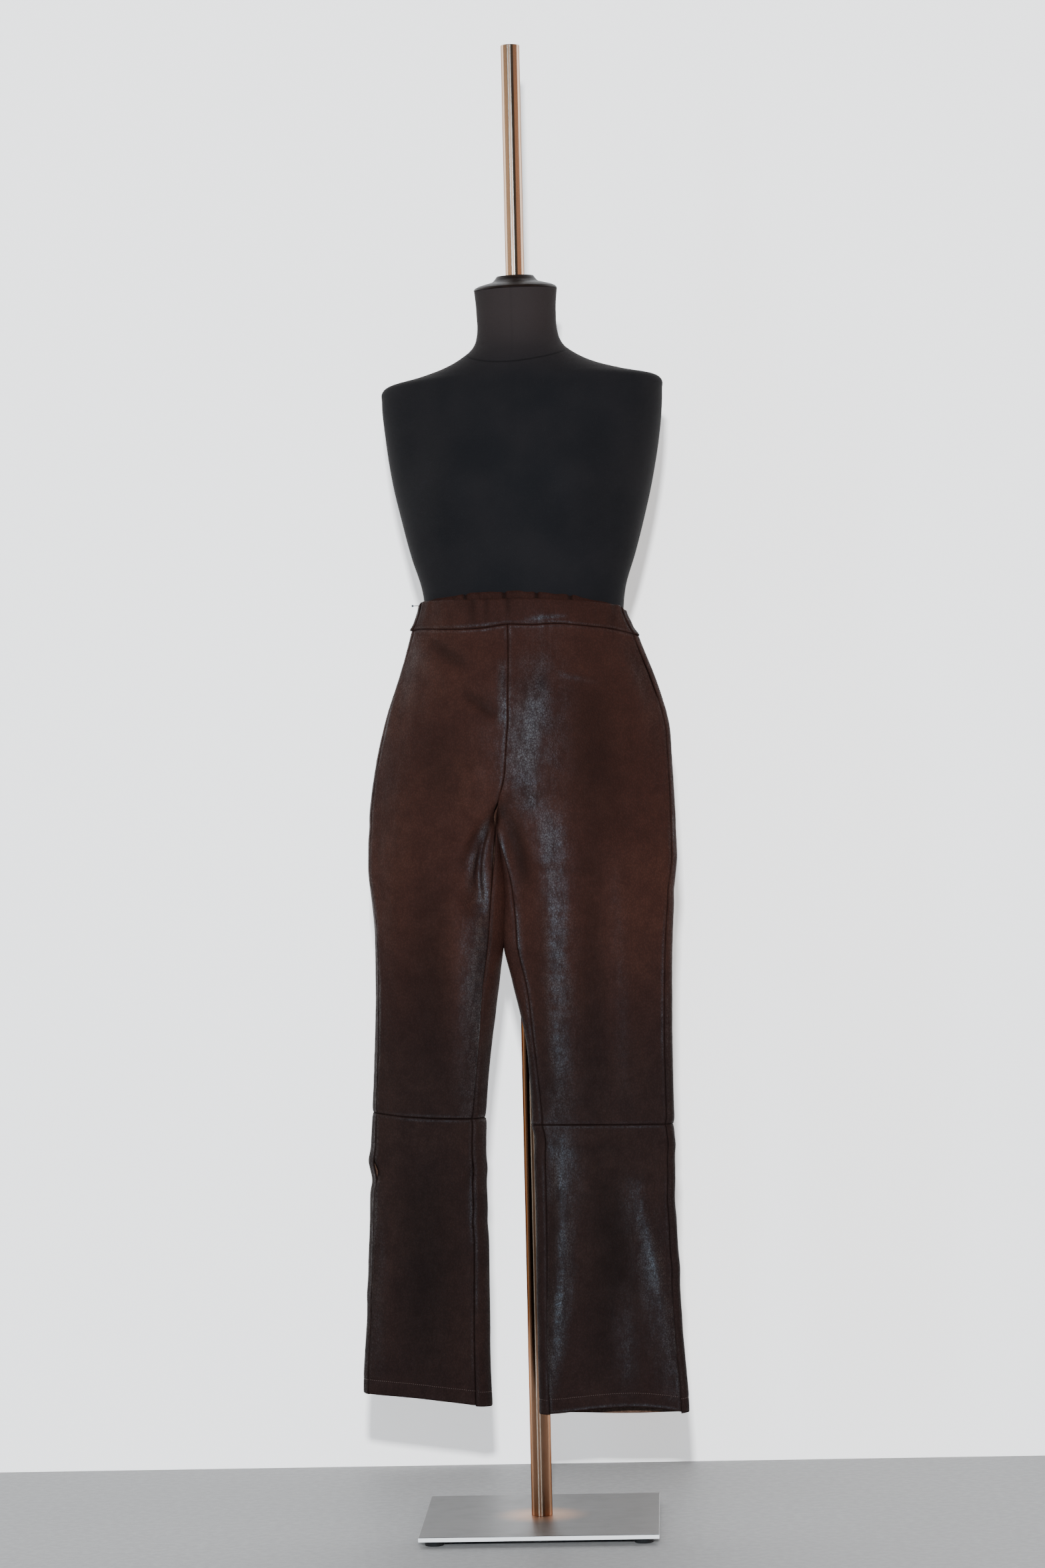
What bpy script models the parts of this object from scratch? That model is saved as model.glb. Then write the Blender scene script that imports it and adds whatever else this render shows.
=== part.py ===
"""Leather trousers pinned to the front of a limbless dress form on a telescopic stand.

Metres, +Z up, the front of the stand towards -Y.  The origin is on the floor, on the axis of the
pole.  The form and the trousers are turned a little to the viewer's left about that axis.  Left
and right are the wearer's, so the left leg is on the +X side.

The trousers hang in front of the form, both layers of the waistband against its waist.  Each
half of them is worked out from the sections in the tables below: a flattened tube, open at the
centre seams above the crotch and closed round the leg below it.
"""
import math
from collections import namedtuple

import bmesh
import bpy
from mathutils import Matrix, Vector

# ---------------------------------------------------------------- driving dimensions
GAP = 0.0003                    # clearance between neighbouring pieces
FORM_TURN = math.radians(-6.0)  # the form's turn on the pole at rest

LEATHER = 0.0014                # wall of a trouser panel
BAND_WALL = 0.0020              # wall of the waistband, leather folded over elastic
WAIST_SEAM = 1.1834             # height of the waist seam at the centre front
BAND_TOP = 1.2185               # top edge of the waistband at the centre front
BACK_BAND_RISE = 0.010          # the gathered back waistband stands this much higher
CLOSING_TOP = 0.985             # where the centre seams start to turn in to the crotch
CROTCH = 0.932
KNEE = {"right": 0.546, "left": 0.5366}
HEM = {"right": 0.1715, "left": 0.1615}
SIDE_SEAM_INSET = 0.008         # the side seams lie this far round on the front
FOLD_FADE = 0.03                # width over which a fold fades out at the panel's edges
FOLD_END = 0.15                 # share of a fold's length over which each end dies out
WRAP_POWER = 2.6                # how late the trousers bend back round the form's sides
EDGE_RADIUS = 0.0046            # least rounding of the flattened tube at its edges
EDGE_SHARE = 0.2                # what a layer's stand-off adds to that rounding
OPEN_FLATNESS = 2.5             # how flat the layers lie across an open half section
LEG_FLATNESS = 2.2              # how flat they lie across a leg

PLATE_SIDE = 0.310
PLATE_THICK = 0.006
PLATE_BOTTOM = 0.007
FOOT_RADIUS = 0.0125
FOOT_INSET = 0.020
SCREW_RADIUS = 0.011
SCREW_BOTTOM = 0.0025
LOWER_TUBE_RADIUS = 0.0137
LOWER_TUBE_TOP = 0.743
UPPER_TUBE_RADIUS = 0.0123
UPPER_TUBE_BOTTOM = 0.450
UPPER_TUBE_TOP = 1.953
TUBE_WALL = 0.0015
RUNNING = UPPER_TUBE_RADIUS + GAP  # radius of every bore that the upper tube passes through
COLLAR_RADIUS = 0.0195
COLLAR_BOTTOM = 0.725
COLLAR_TOP = 0.753
KNOB_STEM_RADIUS = 0.004
KNOB_RADIUS = 0.008
KNOB_STEM_END = 0.027
KNOB_END = 0.040
REST_RING_RADIUS = 0.020
REST_RING_HEIGHT = 0.0137
TORSO_BOTTOM = 0.900
NECK_TOP = 1.630
SHOULDER_TILT = 0.017           # rise per metre to the +X side, from the chest up
SHOULDER_TILT_FROM = 1.440
SHOULDER_TILT_FULL = 1.500
NECK_TOP_TILT = 0.050           # rise per metre to the back, at the neck's top
NECK_TILT_FROM = 1.570
TORSO_SHIFT = 0.003             # the body of the form sits this far to the +X side of its neck
CAP_RADIUS = 0.0550
PIN_HEIGHT = 1.2150
PIN_DROP = 0.0017               # the pin's point meets the waistband's edge this much lower

TUBE_SIDES = 24
TORSO_COLUMNS = 40
BORE_STEPS = 4
FRONT_COLUMNS = 10
BACK_COLUMNS = 17
FINE_STEPS = 260                # steps round a whole section before it is resampled
BEND_WEIGHT = 0.016             # metres that one radian of bend counts for in that resampling
BEND_LIMIT = 0.5
HIP_ROWS = 6                    # rows of a panel from the waist seam to the closing of the legs
CLOSING_SHARES = (0.0, 0.35, 0.62, 0.82, 0.94)  # rows from there down to the crotch
CROTCH_DROPS = (0.0, 0.012)     # rows at the crotch and just below it
THIGH_START = 0.030             # even rows start this far below the crotch
THIGH_ROWS = 9
SHIN_ROWS = 8

# ---------------------------------------------------------------- tables
# Half widths and depths of the form's sections; side is the depth of the widest line.
TorsoRow = namedtuple("TorsoRow", "z width front back side power")
TORSO = [
    TorsoRow(TORSO_BOTTOM, 0.155, 0.080, 0.088, 0.006, 2.2),
    TorsoRow(0.904, 0.163, 0.086, 0.096, 0.006, 2.2),
    TorsoRow(0.915, 0.168, 0.090, 0.102, 0.006, 2.2),
    TorsoRow(0.960, 0.174, 0.094, 0.113, 0.006, 2.2),
    TorsoRow(1.010, 0.174, 0.096, 0.117, 0.005, 2.2),
    TorsoRow(1.060, 0.167, 0.096, 0.108, 0.003, 2.2),
    TorsoRow(1.110, 0.154, 0.092, 0.093, 0.000, 2.15),
    TorsoRow(1.155, 0.1395, 0.087, 0.080, -0.002, 2.1),
    TorsoRow(1.195, 0.1315, 0.0845, 0.074, -0.003, 2.1),
    TorsoRow(1.235, 0.1350, 0.086, 0.076, -0.002, 2.1),
    TorsoRow(1.280, 0.1485, 0.092, 0.082, 0.002, 2.15),
    TorsoRow(1.325, 0.1605, 0.099, 0.088, 0.006, 2.2),
    TorsoRow(1.365, 0.1700, 0.103, 0.093, 0.010, 2.2),
    TorsoRow(1.405, 0.1775, 0.101, 0.097, 0.014, 2.2),
    TorsoRow(1.440, 0.1825, 0.094, 0.099, 0.017, 2.2),
    TorsoRow(1.470, 0.1860, 0.086, 0.098, 0.018, 2.15),
    TorsoRow(1.492, 0.1870, 0.079, 0.094, 0.018, 2.1),
    TorsoRow(1.504, 0.1865, 0.074, 0.090, 0.018, 2.0),
    TorsoRow(1.512, 0.1750, 0.071, 0.086, 0.016, 2.0),
    TorsoRow(1.520, 0.1380, 0.068, 0.081, 0.013, 2.0),
    TorsoRow(1.530, 0.1035, 0.064, 0.074, 0.009, 2.0),
    TorsoRow(1.542, 0.0780, 0.059, 0.066, 0.005, 2.0),
    TorsoRow(1.556, 0.0600, 0.053, 0.057, 0.002, 2.0),
    TorsoRow(1.575, 0.0530, 0.0505, 0.052, 0.001, 2.0),
    TorsoRow(1.602, 0.0525, 0.0505, 0.051, 0.000, 2.0),
    TorsoRow(NECK_TOP, CAP_RADIUS - 0.0003, 0.053, 0.053, 0.000, 2.0),
]
BUST_APEX = (0.082, 1.362)
BUST_RADII = (0.050, 0.056)
BUST_RISE = 0.024

# The turned cap of the neck: radius, and height over its seat.
CAP = [
    (RUNNING, 0.0),
    (CAP_RADIUS, 0.0),
    (CAP_RADIUS, 0.0008),
    (0.0537, 0.0031),
    (0.0485, 0.0057),
    (0.0430, 0.0072),
    (0.0370, 0.0088),
    (0.0310, 0.0103),
    (0.0280, 0.0128),
    (0.0258, 0.0158),
    (0.0242, 0.0182),
    (RUNNING, 0.0182),
]

# The dressmaker's pin: radius, and distance from its point, back to the round head.
PIN = [
    (0.0001, 0.0128),
    (0.0011, 0.0126),
    (0.0015, 0.0116),
    (0.0013, 0.0104),
    (0.0005, 0.0100),
    (0.0005, 0.0010),
    (0.0001, 0.0),
]

# Sections of the trousers above the crotch, from the waistband's top down.  z is the height at
# the centre seam, rise the height of the side edge over it; mid and side are the depths of the
# middle surface at the centre and at the side edges; front and back are how far the two layers
# stand off it.
HipRow = namedtuple("HipRow", "z seam right left rise_right rise_left mid side front back")
HIPS = [
    HipRow(BAND_TOP, -0.005, -0.1280, 0.1405, 0.0017, -0.0123, -0.0920, -0.040, 0.011, 0.0055),
    HipRow(WAIST_SEAM, -0.005, -0.1380, 0.1550, -0.0054, -0.0200, -0.0920, -0.042, 0.012, 0.0055),
    HipRow(1.1300, -0.004, -0.1530, 0.1765, -0.0020, -0.0180, -0.1010, -0.044, 0.015, 0.006),
    HipRow(1.0700, -0.004, -0.1725, 0.1935, -0.0010, -0.0150, -0.1075, -0.048, 0.018, 0.008),
    HipRow(1.0200, -0.007, -0.1845, 0.1970, 0.0, -0.0120, -0.1110, -0.052, 0.020, 0.010),
    HipRow(CLOSING_TOP, -0.010, -0.1905, 0.1990, 0.0, -0.0090, -0.1130, -0.056, 0.021, 0.011),
    HipRow(CROTCH, -0.024, -0.1955, 0.2015, 0.0, -0.0050, -0.1130, -0.064, 0.021, 0.012),
]

# Sections of each leg below the crotch: z at the inner edge, rise of the outer edge over it,
# inner and outer edges, depths of the middle surface at both, how far the front and back stand
# off it, and how far round on the front the inseam lies.
LegRow = namedtuple("LegRow", "z rise inner outer mid_in mid_out front back inseam")
LEGS = {
    "right": [
        LegRow(CROTCH, 0.0, -0.0240, -0.1955, -0.113, -0.064, 0.021, 0.012, 0.000),
        LegRow(0.895, 0.000, -0.0206, -0.1965, -0.112, -0.074, 0.027, 0.018, 0.005),
        LegRow(0.840, 0.002, -0.0160, -0.1925, -0.109, -0.086, 0.035, 0.027, 0.015),
        LegRow(0.780, 0.004, -0.0200, -0.1882, -0.105, -0.093, 0.040, 0.034, 0.017),
        LegRow(0.720, 0.005, -0.0285, -0.1888, -0.101, -0.096, 0.040, 0.036, 0.017),
        LegRow(0.640, 0.007, -0.0400, -0.1920, -0.098, -0.096, 0.036, 0.034, 0.014),
        LegRow(0.546, 0.009, -0.0492, -0.1975, -0.096, -0.095, 0.031, 0.030, 0.014),
        LegRow(0.480, 0.010, -0.0517, -0.2010, -0.095, -0.095, 0.029, 0.029, 0.014),
        LegRow(0.400, 0.013, -0.0502, -0.2040, -0.095, -0.095, 0.027, 0.028, 0.015),
        LegRow(0.280, 0.016, -0.0517, -0.2100, -0.095, -0.095, 0.026, 0.028, 0.016),
        LegRow(HEM["right"], 0.018, -0.0500, -0.2170, -0.095, -0.095, 0.026, 0.028, 0.018),
    ],
    "left": [
        LegRow(CROTCH, -0.0050, -0.0240, 0.2015, -0.113, -0.064, 0.021, 0.012, 0.000),
        LegRow(0.895, -0.004, -0.0190, 0.2030, -0.112, -0.074, 0.023, 0.015, 0.005),
        LegRow(0.840, -0.004, -0.0140, 0.2010, -0.109, -0.086, 0.024, 0.017, 0.011),
        LegRow(0.780, -0.003, -0.0170, 0.1980, -0.105, -0.093, 0.023, 0.018, 0.018),
        LegRow(0.720, -0.002, -0.0077, 0.1965, -0.102, -0.096, 0.021, 0.018, 0.018),
        LegRow(0.640, -0.001, 0.0075, 0.1950, -0.099, -0.096, 0.019, 0.016, 0.011),
        LegRow(0.5366, -0.001, 0.0134, 0.1954, -0.097, -0.095, 0.017, 0.015, 0.014),
        LegRow(0.470, -0.001, 0.0143, 0.1956, -0.096, -0.095, 0.016, 0.015, 0.015),
        LegRow(0.390, 0.000, 0.0142, 0.1964, -0.095, -0.095, 0.016, 0.016, 0.015),
        LegRow(0.270, 0.001, 0.0139, 0.1995, -0.095, -0.095, 0.018, 0.018, 0.014),
        LegRow(HEM["left"], 0.002, 0.0137, 0.2068, -0.095, -0.095, 0.019, 0.019, 0.014),
    ],
}

# The largest folds of the front: a straight ridge, or trough where lift is negative, from one
# end to the other, width across and lift off the cloth.
Fold = namedtuple("Fold", "x0 z0 x1 z1 width lift")
FRONT_FOLDS = [
    Fold(-0.036, 0.925, -0.052, 0.815, 0.013, -0.011),
    Fold(0.028, 1.110, 0.024, 0.960, 0.032, 0.006),
    Fold(0.058, 0.830, 0.056, 0.560, 0.026, 0.006),
    Fold(-0.070, 0.840, -0.078, 0.600, 0.020, 0.005),
    Fold(0.056, 0.510, 0.036, 0.185, 0.016, 0.005),
    Fold(0.152, 0.460, 0.180, 0.230, 0.018, 0.004),
    Fold(-0.120, 0.480, -0.105, 0.200, 0.024, 0.004),
]
BACK_FOLDS = [
    Fold(-0.090, 0.860, -0.100, 0.600, 0.024, 0.005),
    Fold(0.110, 0.850, 0.105, 0.560, 0.026, 0.005),
    Fold(-0.140, 0.480, -0.130, 0.220, 0.022, 0.004),
    Fold(0.130, 0.470, 0.140, 0.210, 0.022, 0.004),
]


# ---------------------------------------------------------------- helpers
def material(name, colour, roughness, metallic=0.0):
    made = bpy.data.materials.new(name)
    made.use_nodes = True
    shader = made.node_tree.nodes["Principled BSDF"]
    shader.inputs["Base Color"].default_value = (*colour, 1.0)
    shader.inputs["Roughness"].default_value = roughness
    shader.inputs["Metallic"].default_value = metallic
    return made


def smoothstep(t):
    t = min(max(t, 0.0), 1.0)
    return t * t * (3.0 - 2.0 * t)


def between(rows, z):
    """The table's row at height z: cubic through the rows' heights, which run downwards."""
    last = len(rows) - 2
    i = 0
    while i < last and rows[i + 1].z > z:
        i += 1
    before = rows[max(i - 1, 0)]
    low = rows[i]
    high = rows[i + 1]
    after = rows[min(i + 2, len(rows) - 1)]
    span = high.z - low.z
    t = (z - low.z) / span
    values = []
    for a, b, c, d in zip(before, low, high, after):
        in_slope = (c - a) / (high.z - before.z) * span
        out_slope = (d - b) / (after.z - low.z) * span
        if (c - b) * (b - a) <= 0.0:
            in_slope = 0.0
        if (d - c) * (c - b) <= 0.0:
            out_slope = 0.0
        value = (2 * t**3 - 3 * t**2 + 1) * b + (t**3 - 2 * t**2 + t) * in_slope
        value += (-2 * t**3 + 3 * t**2) * c + (t**3 - t**2) * out_slope
        values.append(value)
    return type(low)(*values)


def add_object(name, vertices, faces, finish, parent=None):
    mesh = bpy.data.meshes.new(name)
    mesh.from_pydata(vertices, [], faces)
    work = bmesh.new()
    work.from_mesh(mesh)
    bmesh.ops.recalc_face_normals(work, faces=work.faces)
    work.to_mesh(mesh)
    work.free()
    mesh.shade_smooth()
    mesh.set_sharp_from_angle(angle=math.radians(35.0))
    mesh.materials.append(finish)
    made = bpy.data.objects.new(name, mesh)
    made.parent = parent
    bpy.context.collection.objects.link(made)
    return made


def ring_faces(ring_count, size, loop_rings):
    """Quads between rings of the same size; the last ring joins the first in a loop."""
    faces = []
    pairs = ring_count if loop_rings else ring_count - 1
    for i in range(pairs):
        j = (i + 1) % ring_count
        for k in range(size):
            n = (k + 1) % size
            faces.append((i * size + k, i * size + n, j * size + n, j * size + k))
    return faces


def add_turned(name, profile, finish, parent=None, hollow=False, place=None):
    """Turns (radius, height) pairs about Z.  A hollow profile closes on itself round a bore;
    place gives the height of a point where the profile's own height isn't it."""
    vertices = []
    for radius, height in profile:
        for k in range(TUBE_SIDES):
            angle = 2.0 * math.pi * k / TUBE_SIDES
            x = radius * math.cos(angle)
            y = radius * math.sin(angle)
            vertices.append((x, y, place(x, y, height) if place else height))
    faces = ring_faces(len(profile), TUBE_SIDES, hollow)
    if not hollow:
        last = (len(profile) - 1) * TUBE_SIDES
        faces.append(tuple(reversed(range(TUBE_SIDES))))
        faces.append(tuple(range(last, last + TUBE_SIDES)))
    return add_object(name, vertices, faces, finish, parent)


# ---------------------------------------------------------------- the dress form
def bust(x, z):
    rise = 0.0
    for side in (-1.0, 1.0):
        across = (x - side * BUST_APEX[0]) / BUST_RADII[0]
        up = (z - BUST_APEX[1]) / BUST_RADII[1]
        rise += BUST_RISE * math.exp(-across**2 - up**2)
    return rise


def torso_ring(row):
    points = []
    shift = TORSO_SHIFT * smoothstep((NECK_TOP - row.z) / (NECK_TOP - SHOULDER_TILT_FULL))
    for k in range(TORSO_COLUMNS):
        angle = 2.0 * math.pi * k / TORSO_COLUMNS
        across = math.cos(angle)
        deep = math.sin(angle)
        x = row.width * math.copysign(abs(across) ** (2.0 / row.power), across)
        reach = row.front + row.side if deep < 0.0 else row.back - row.side
        y = row.side + reach * math.copysign(abs(deep) ** (2.0 / row.power), deep)
        if deep < 0.0:
            y -= bust(x, row.z) * abs(deep)
        points.append((x + shift, y, tilted(x + shift, y, row.z)))
    return points


def tilted(x, y, z):
    """Height of a point of the form once its shoulders and its neck's top are tilted."""
    across = smoothstep((z - SHOULDER_TILT_FROM) / (SHOULDER_TILT_FULL - SHOULDER_TILT_FROM))
    deep = smoothstep((z - NECK_TILT_FROM) / (NECK_TOP - NECK_TILT_FROM))
    return z + SHOULDER_TILT * across * x + NECK_TOP_TILT * deep * y


def bore_ring(z):
    points = []
    for k in range(TORSO_COLUMNS):
        angle = 2.0 * math.pi * k / TORSO_COLUMNS
        x = RUNNING * math.cos(angle)
        y = RUNNING * math.sin(angle)
        points.append((x, y, tilted(x, y, z)))
    return points


def add_torso(parent, finish):
    rings = [torso_ring(row) for row in TORSO]
    for step in range(BORE_STEPS + 1):
        rings.append(bore_ring(NECK_TOP + (TORSO_BOTTOM - NECK_TOP) * step / BORE_STEPS))
    vertices = [point for ring in rings for point in ring]
    faces = ring_faces(len(rings), TORSO_COLUMNS, True)
    add_object("torso", vertices, faces, finish, parent)


def add_neck_cap(parent, finish):
    profile = [(radius, NECK_TOP + GAP + height) for radius, height in CAP]
    add_turned("neck_cap", profile, finish, parent, hollow=True, place=tilted)


# ---------------------------------------------------------------- the trousers' surface
def rounding(distance, radius):
    """Quarter circle: 0 at an edge, 1 from radius inwards."""
    left = 1.0 - min(max(distance / radius, 0.0), 1.0)
    return math.sqrt(max(1.0 - left * left, 0.0))


def fold_lift(folds, x, z):
    total = 0.0
    for fold in folds:
        along_x = fold.x1 - fold.x0
        along_z = fold.z1 - fold.z0
        length = math.hypot(along_x, along_z)
        s = ((x - fold.x0) * along_x + (z - fold.z0) * along_z) / length**2
        across = ((x - fold.x0) * along_z - (z - fold.z0) * along_x) / length
        ends = smoothstep((s + FOLD_END) / (2.0 * FOLD_END))
        ends *= smoothstep((1.0 + FOLD_END - s) / (2.0 * FOLD_END))
        total += fold.lift * ends * math.exp(-((across / fold.width) ** 2))
    return total


def section(side, z):
    """The half section at height z as one LegRow, with how far it is closed, from 0 to 1."""
    if z > CROTCH:
        row = between(HIPS, z)
        tau = max((CLOSING_TOP - z) / (CLOSING_TOP - CROTCH), 0.0)
        closed = 1.0 - math.sqrt(1.0 - tau * tau)
        outer = row.right if side == "right" else row.left
        rise = row.rise_right if side == "right" else row.rise_left
        half = LegRow(z, rise, row.seam, outer, row.mid, row.side, row.front, row.back, 0.0)
        return half, closed
    return between(LEGS[side], z), 1.0


def surface(side, z, turn):
    """A point of the outer face of the half, turn running 0 to 2 pi: the front from the inner
    edge to the outer edge, then the back to the inner edge again."""
    row, closed = section(side, z)
    outward = -1.0 if side == "right" else 1.0
    apart = outward * GAP / 2.0 if closed > 0.0 else 0.0
    inner = row.inner + apart
    width = row.outer - inner
    share = (1.0 - math.cos(turn)) / 2.0
    x = inner + width * share
    on_front = turn < math.pi
    stand_off = row.front if on_front else row.back
    edge = EDGE_RADIUS + EDGE_SHARE * stand_off
    from_inner = abs(width) * share
    from_outer = abs(width) * (1.0 - share)
    open_shape = edge + (stand_off - edge) * (1.0 - share**OPEN_FLATNESS)
    leg_shape = edge + (stand_off - edge) * (1.0 - abs(2.0 * share - 1.0) ** LEG_FLATNESS)
    leg_shape *= rounding(from_inner, edge)
    shape = ((1.0 - closed) * open_shape + closed * leg_shape) * rounding(from_outer, edge)
    middle = row.mid_in + (row.mid_out - row.mid_in) * share**WRAP_POWER
    height = z + row.rise * share**2
    if z > WAIST_SEAM and not on_front:
        height += BACK_BAND_RISE * (z - WAIST_SEAM) / (BAND_TOP - WAIST_SEAM) * (1.0 - share**2)
    fade = smoothstep(from_outer / FOLD_FADE)
    if closed > 0.0:
        fade *= 1.0 - closed * (1.0 - smoothstep(from_inner / FOLD_FADE))
    folds = FRONT_FOLDS if on_front else BACK_FOLDS
    shape += fold_lift(folds, x, height) * fade
    slope = (row.mid_out - row.mid_in) * WRAP_POWER * share ** (WRAP_POWER - 1.0) / width
    off = (shape if on_front else -shape) / math.hypot(slope, 1.0)
    return Vector((x + off * slope, middle - off, height))


def outward_normal(side, z, turn):
    """Unit normal of the outer face, from small steps along and round the half."""
    step = 0.004
    near = max(turn - step, 0.0 if turn < math.pi else math.pi)
    far = min(turn + step, math.pi if turn < math.pi else 2.0 * math.pi)
    around = surface(side, z, far - 1e-6) - surface(side, z, near + 1e-6)
    rise = 0.0005
    up = surface(side, z + rise, turn) - surface(side, z - rise, turn)
    normal = around.cross(up) if side == "left" else up.cross(around)
    if z > WAIST_SEAM - GAP:
        normal.z = 0.0  # the band and the panels meet on level faces
    return normal.normalized()


def turns_at(side, z, part, columns):
    """Turns of a panel's columns at height z, closer together round the tight edges."""
    row, closed = section(side, z)
    fine = [2.0 * math.pi * k / FINE_STEPS for k in range(FINE_STEPS + 1)]
    fine[-1] -= 1e-6
    points = [surface(side, z, turn) for turn in fine]
    lengths = [0.0]
    measure = [0.0]
    before = None
    for a, b in zip(points, points[1:]):
        step = Vector((b.x - a.x, b.y - a.y))
        bend = 0.0
        if before is not None and step.length > 1e-7 and before.length > 1e-7:
            bend = abs(before.angle(step))
        lengths.append(lengths[-1] + step.length)
        measure.append(measure[-1] + step.length + BEND_WEIGHT * min(bend, BEND_LIMIT))
        before = step
    width = abs(row.outer - row.inner)
    inseam = math.acos(1.0 - 2.0 * min(row.inseam / width, 1.0))
    side_seam = math.pi - math.acos(1.0 - 2.0 * SIDE_SEAM_INSET / width)

    def trimmed(turn, shift):
        at = interpolate(turn, fine, lengths) + shift
        return interpolate(at, lengths, fine)

    if part == "front":
        start = trimmed(inseam, GAP / 2.0)
        end = trimmed(side_seam, -GAP / 2.0)
    else:
        start = trimmed(side_seam, GAP / 2.0)
        end = fine[-1] if inseam == 0.0 else fine[-1] + inseam
    first = interpolate(start, fine, measure)
    if end <= fine[-1]:
        stop = interpolate(trimmed(end, -GAP / 2.0), fine, measure)
        wanted = [first + (stop - first) * k / columns for k in range(columns + 1)]
        return [interpolate(m, measure, fine) for m in wanted]
    over = interpolate(trimmed(inseam, -GAP / 2.0), fine, measure)
    stop = measure[-1] + over
    turns = []
    for k in range(columns + 1):
        m = first + (stop - first) * k / columns
        if m <= measure[-1]:
            turns.append(interpolate(m, measure, fine))
        else:
            turns.append(interpolate(m - measure[-1], measure, fine))
    return turns


def interpolate(value, xs, ys):
    """Straight-line reading of ys at value, where xs only grow."""
    low = 0
    high = len(xs) - 1
    while high - low > 1:
        middle = (low + high) // 2
        if xs[middle] <= value:
            low = middle
        else:
            high = middle
    span = xs[high] - xs[low]
    share = (value - xs[low]) / span if span > 0.0 else 0.0
    return ys[low] + (ys[high] - ys[low]) * min(max(share, 0.0), 1.0)


def add_sheet(name, outer, inner, finish, parent):
    """A closed wall between two grids of points with the same rows and columns."""
    rows = len(outer)
    columns = len(outer[0])
    size = rows * columns
    vertices = [point for row in outer for point in row]
    vertices += [point for row in inner for point in row]
    faces = []
    for i in range(rows - 1):
        for j in range(columns - 1):
            a = i * columns + j
            b = a + 1
            c = a + columns + 1
            d = a + columns
            faces.append((a, b, c, d))
            faces.append((size + d, size + c, size + b, size + a))
    rim = [(0, j) for j in range(columns)]
    rim += [(i, columns - 1) for i in range(1, rows)]
    rim += [(rows - 1, j) for j in range(columns - 2, -1, -1)]
    rim += [(i, 0) for i in range(rows - 2, 0, -1)]
    for (i, j), (m, n) in zip(rim, rim[1:] + rim[:1]):
        a = i * columns + j
        b = m * columns + n
        if a < b:
            # split along the same diagonal as the neighbour's edge, across the seam
            faces.append((b, a, size + b))
            faces.append((a, size + a, size + b))
        else:
            faces.append((b, a, size + a))
            faces.append((b, size + a, size + b))
    add_object(name, vertices, faces, finish, parent)


def add_panel(side, part, name, heights, finish, parent):
    columns = FRONT_COLUMNS if part == "front" else BACK_COLUMNS
    outer = []
    inner = []
    for z in heights:
        turns = turns_at(side, z, part, columns)
        ring = [surface(side, z, turn) for turn in turns]
        normals = [outward_normal(side, z, turn) for turn in turns]
        outer.append(ring)
        inner.append([point - normal * LEATHER for point, normal in zip(ring, normals)])
    add_sheet(name, outer, inner, finish, parent)


def upper_heights(side):
    """Rows from the waist seam to the knee seam, closer together at the crotch."""
    top = WAIST_SEAM - GAP / 2.0
    heights = [top - (top - CLOSING_TOP) * k / HIP_ROWS for k in range(HIP_ROWS)]
    heights += [CLOSING_TOP - (CLOSING_TOP - CROTCH) * share for share in CLOSING_SHARES]
    heights += [CROTCH - drop for drop in CROTCH_DROPS]
    start = CROTCH - THIGH_START
    bottom = KNEE[side] + GAP / 2.0
    heights += [start - (start - bottom) * k / THIGH_ROWS for k in range(THIGH_ROWS + 1)]
    return heights


def lower_heights(side):
    top = KNEE[side] - GAP / 2.0
    return [top - (top - HEM[side]) * k / SHIN_ROWS for k in range(SHIN_ROWS + 1)]


def band_grid(part):
    """Outer and inner points of a waistband from the right side seam to the left one."""
    columns = FRONT_COLUMNS if part == "front" else BACK_COLUMNS
    bottom = WAIST_SEAM + GAP / 2.0
    outer = []
    inner = []
    for z in (bottom, (bottom + BAND_TOP) / 2.0, BAND_TOP):
        rings = {}
        for side in ("right", "left"):
            turns = turns_at(side, z, part, columns)
            if part == "front":
                turns = list(reversed(turns))
            rings[side] = [
                (surface(side, z, turn), outward_normal(side, z, turn)) for turn in turns
            ]
        ring = rings["right"][:-1] + list(reversed(rings["left"]))
        outer.append([point for point, normal in ring])
        inner.append([point - normal * BAND_WALL for point, normal in ring])
    return outer, inner


def add_trousers(parent, leather):
    for side in ("right", "left"):
        for part in ("front", "back"):
            name = f"{part}_upper_{side}"
            add_panel(side, part, name, upper_heights(side), leather, parent)
            name = f"{part}_lower_{side}"
            add_panel(side, part, name, lower_heights(side), leather, parent)
    for part in ("front", "back"):
        outer, inner = band_grid(part)
        add_sheet(f"waistband_{part}", outer, inner, leather, parent)


# ---------------------------------------------------------------- the pin and the stand
def add_pin(parent, steel):
    """A dressmaker's pin at the right end of the waistband, its head outermost."""
    edge = surface("right", PIN_HEIGHT - PIN_DROP, math.pi)
    pin = add_turned("waist_pin", PIN, steel, parent)
    place = Matrix.Translation((edge.x - GAP, edge.y, PIN_HEIGHT))
    pin.matrix_local = place @ Matrix.Rotation(-math.pi / 2.0, 4, "Y")


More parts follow.
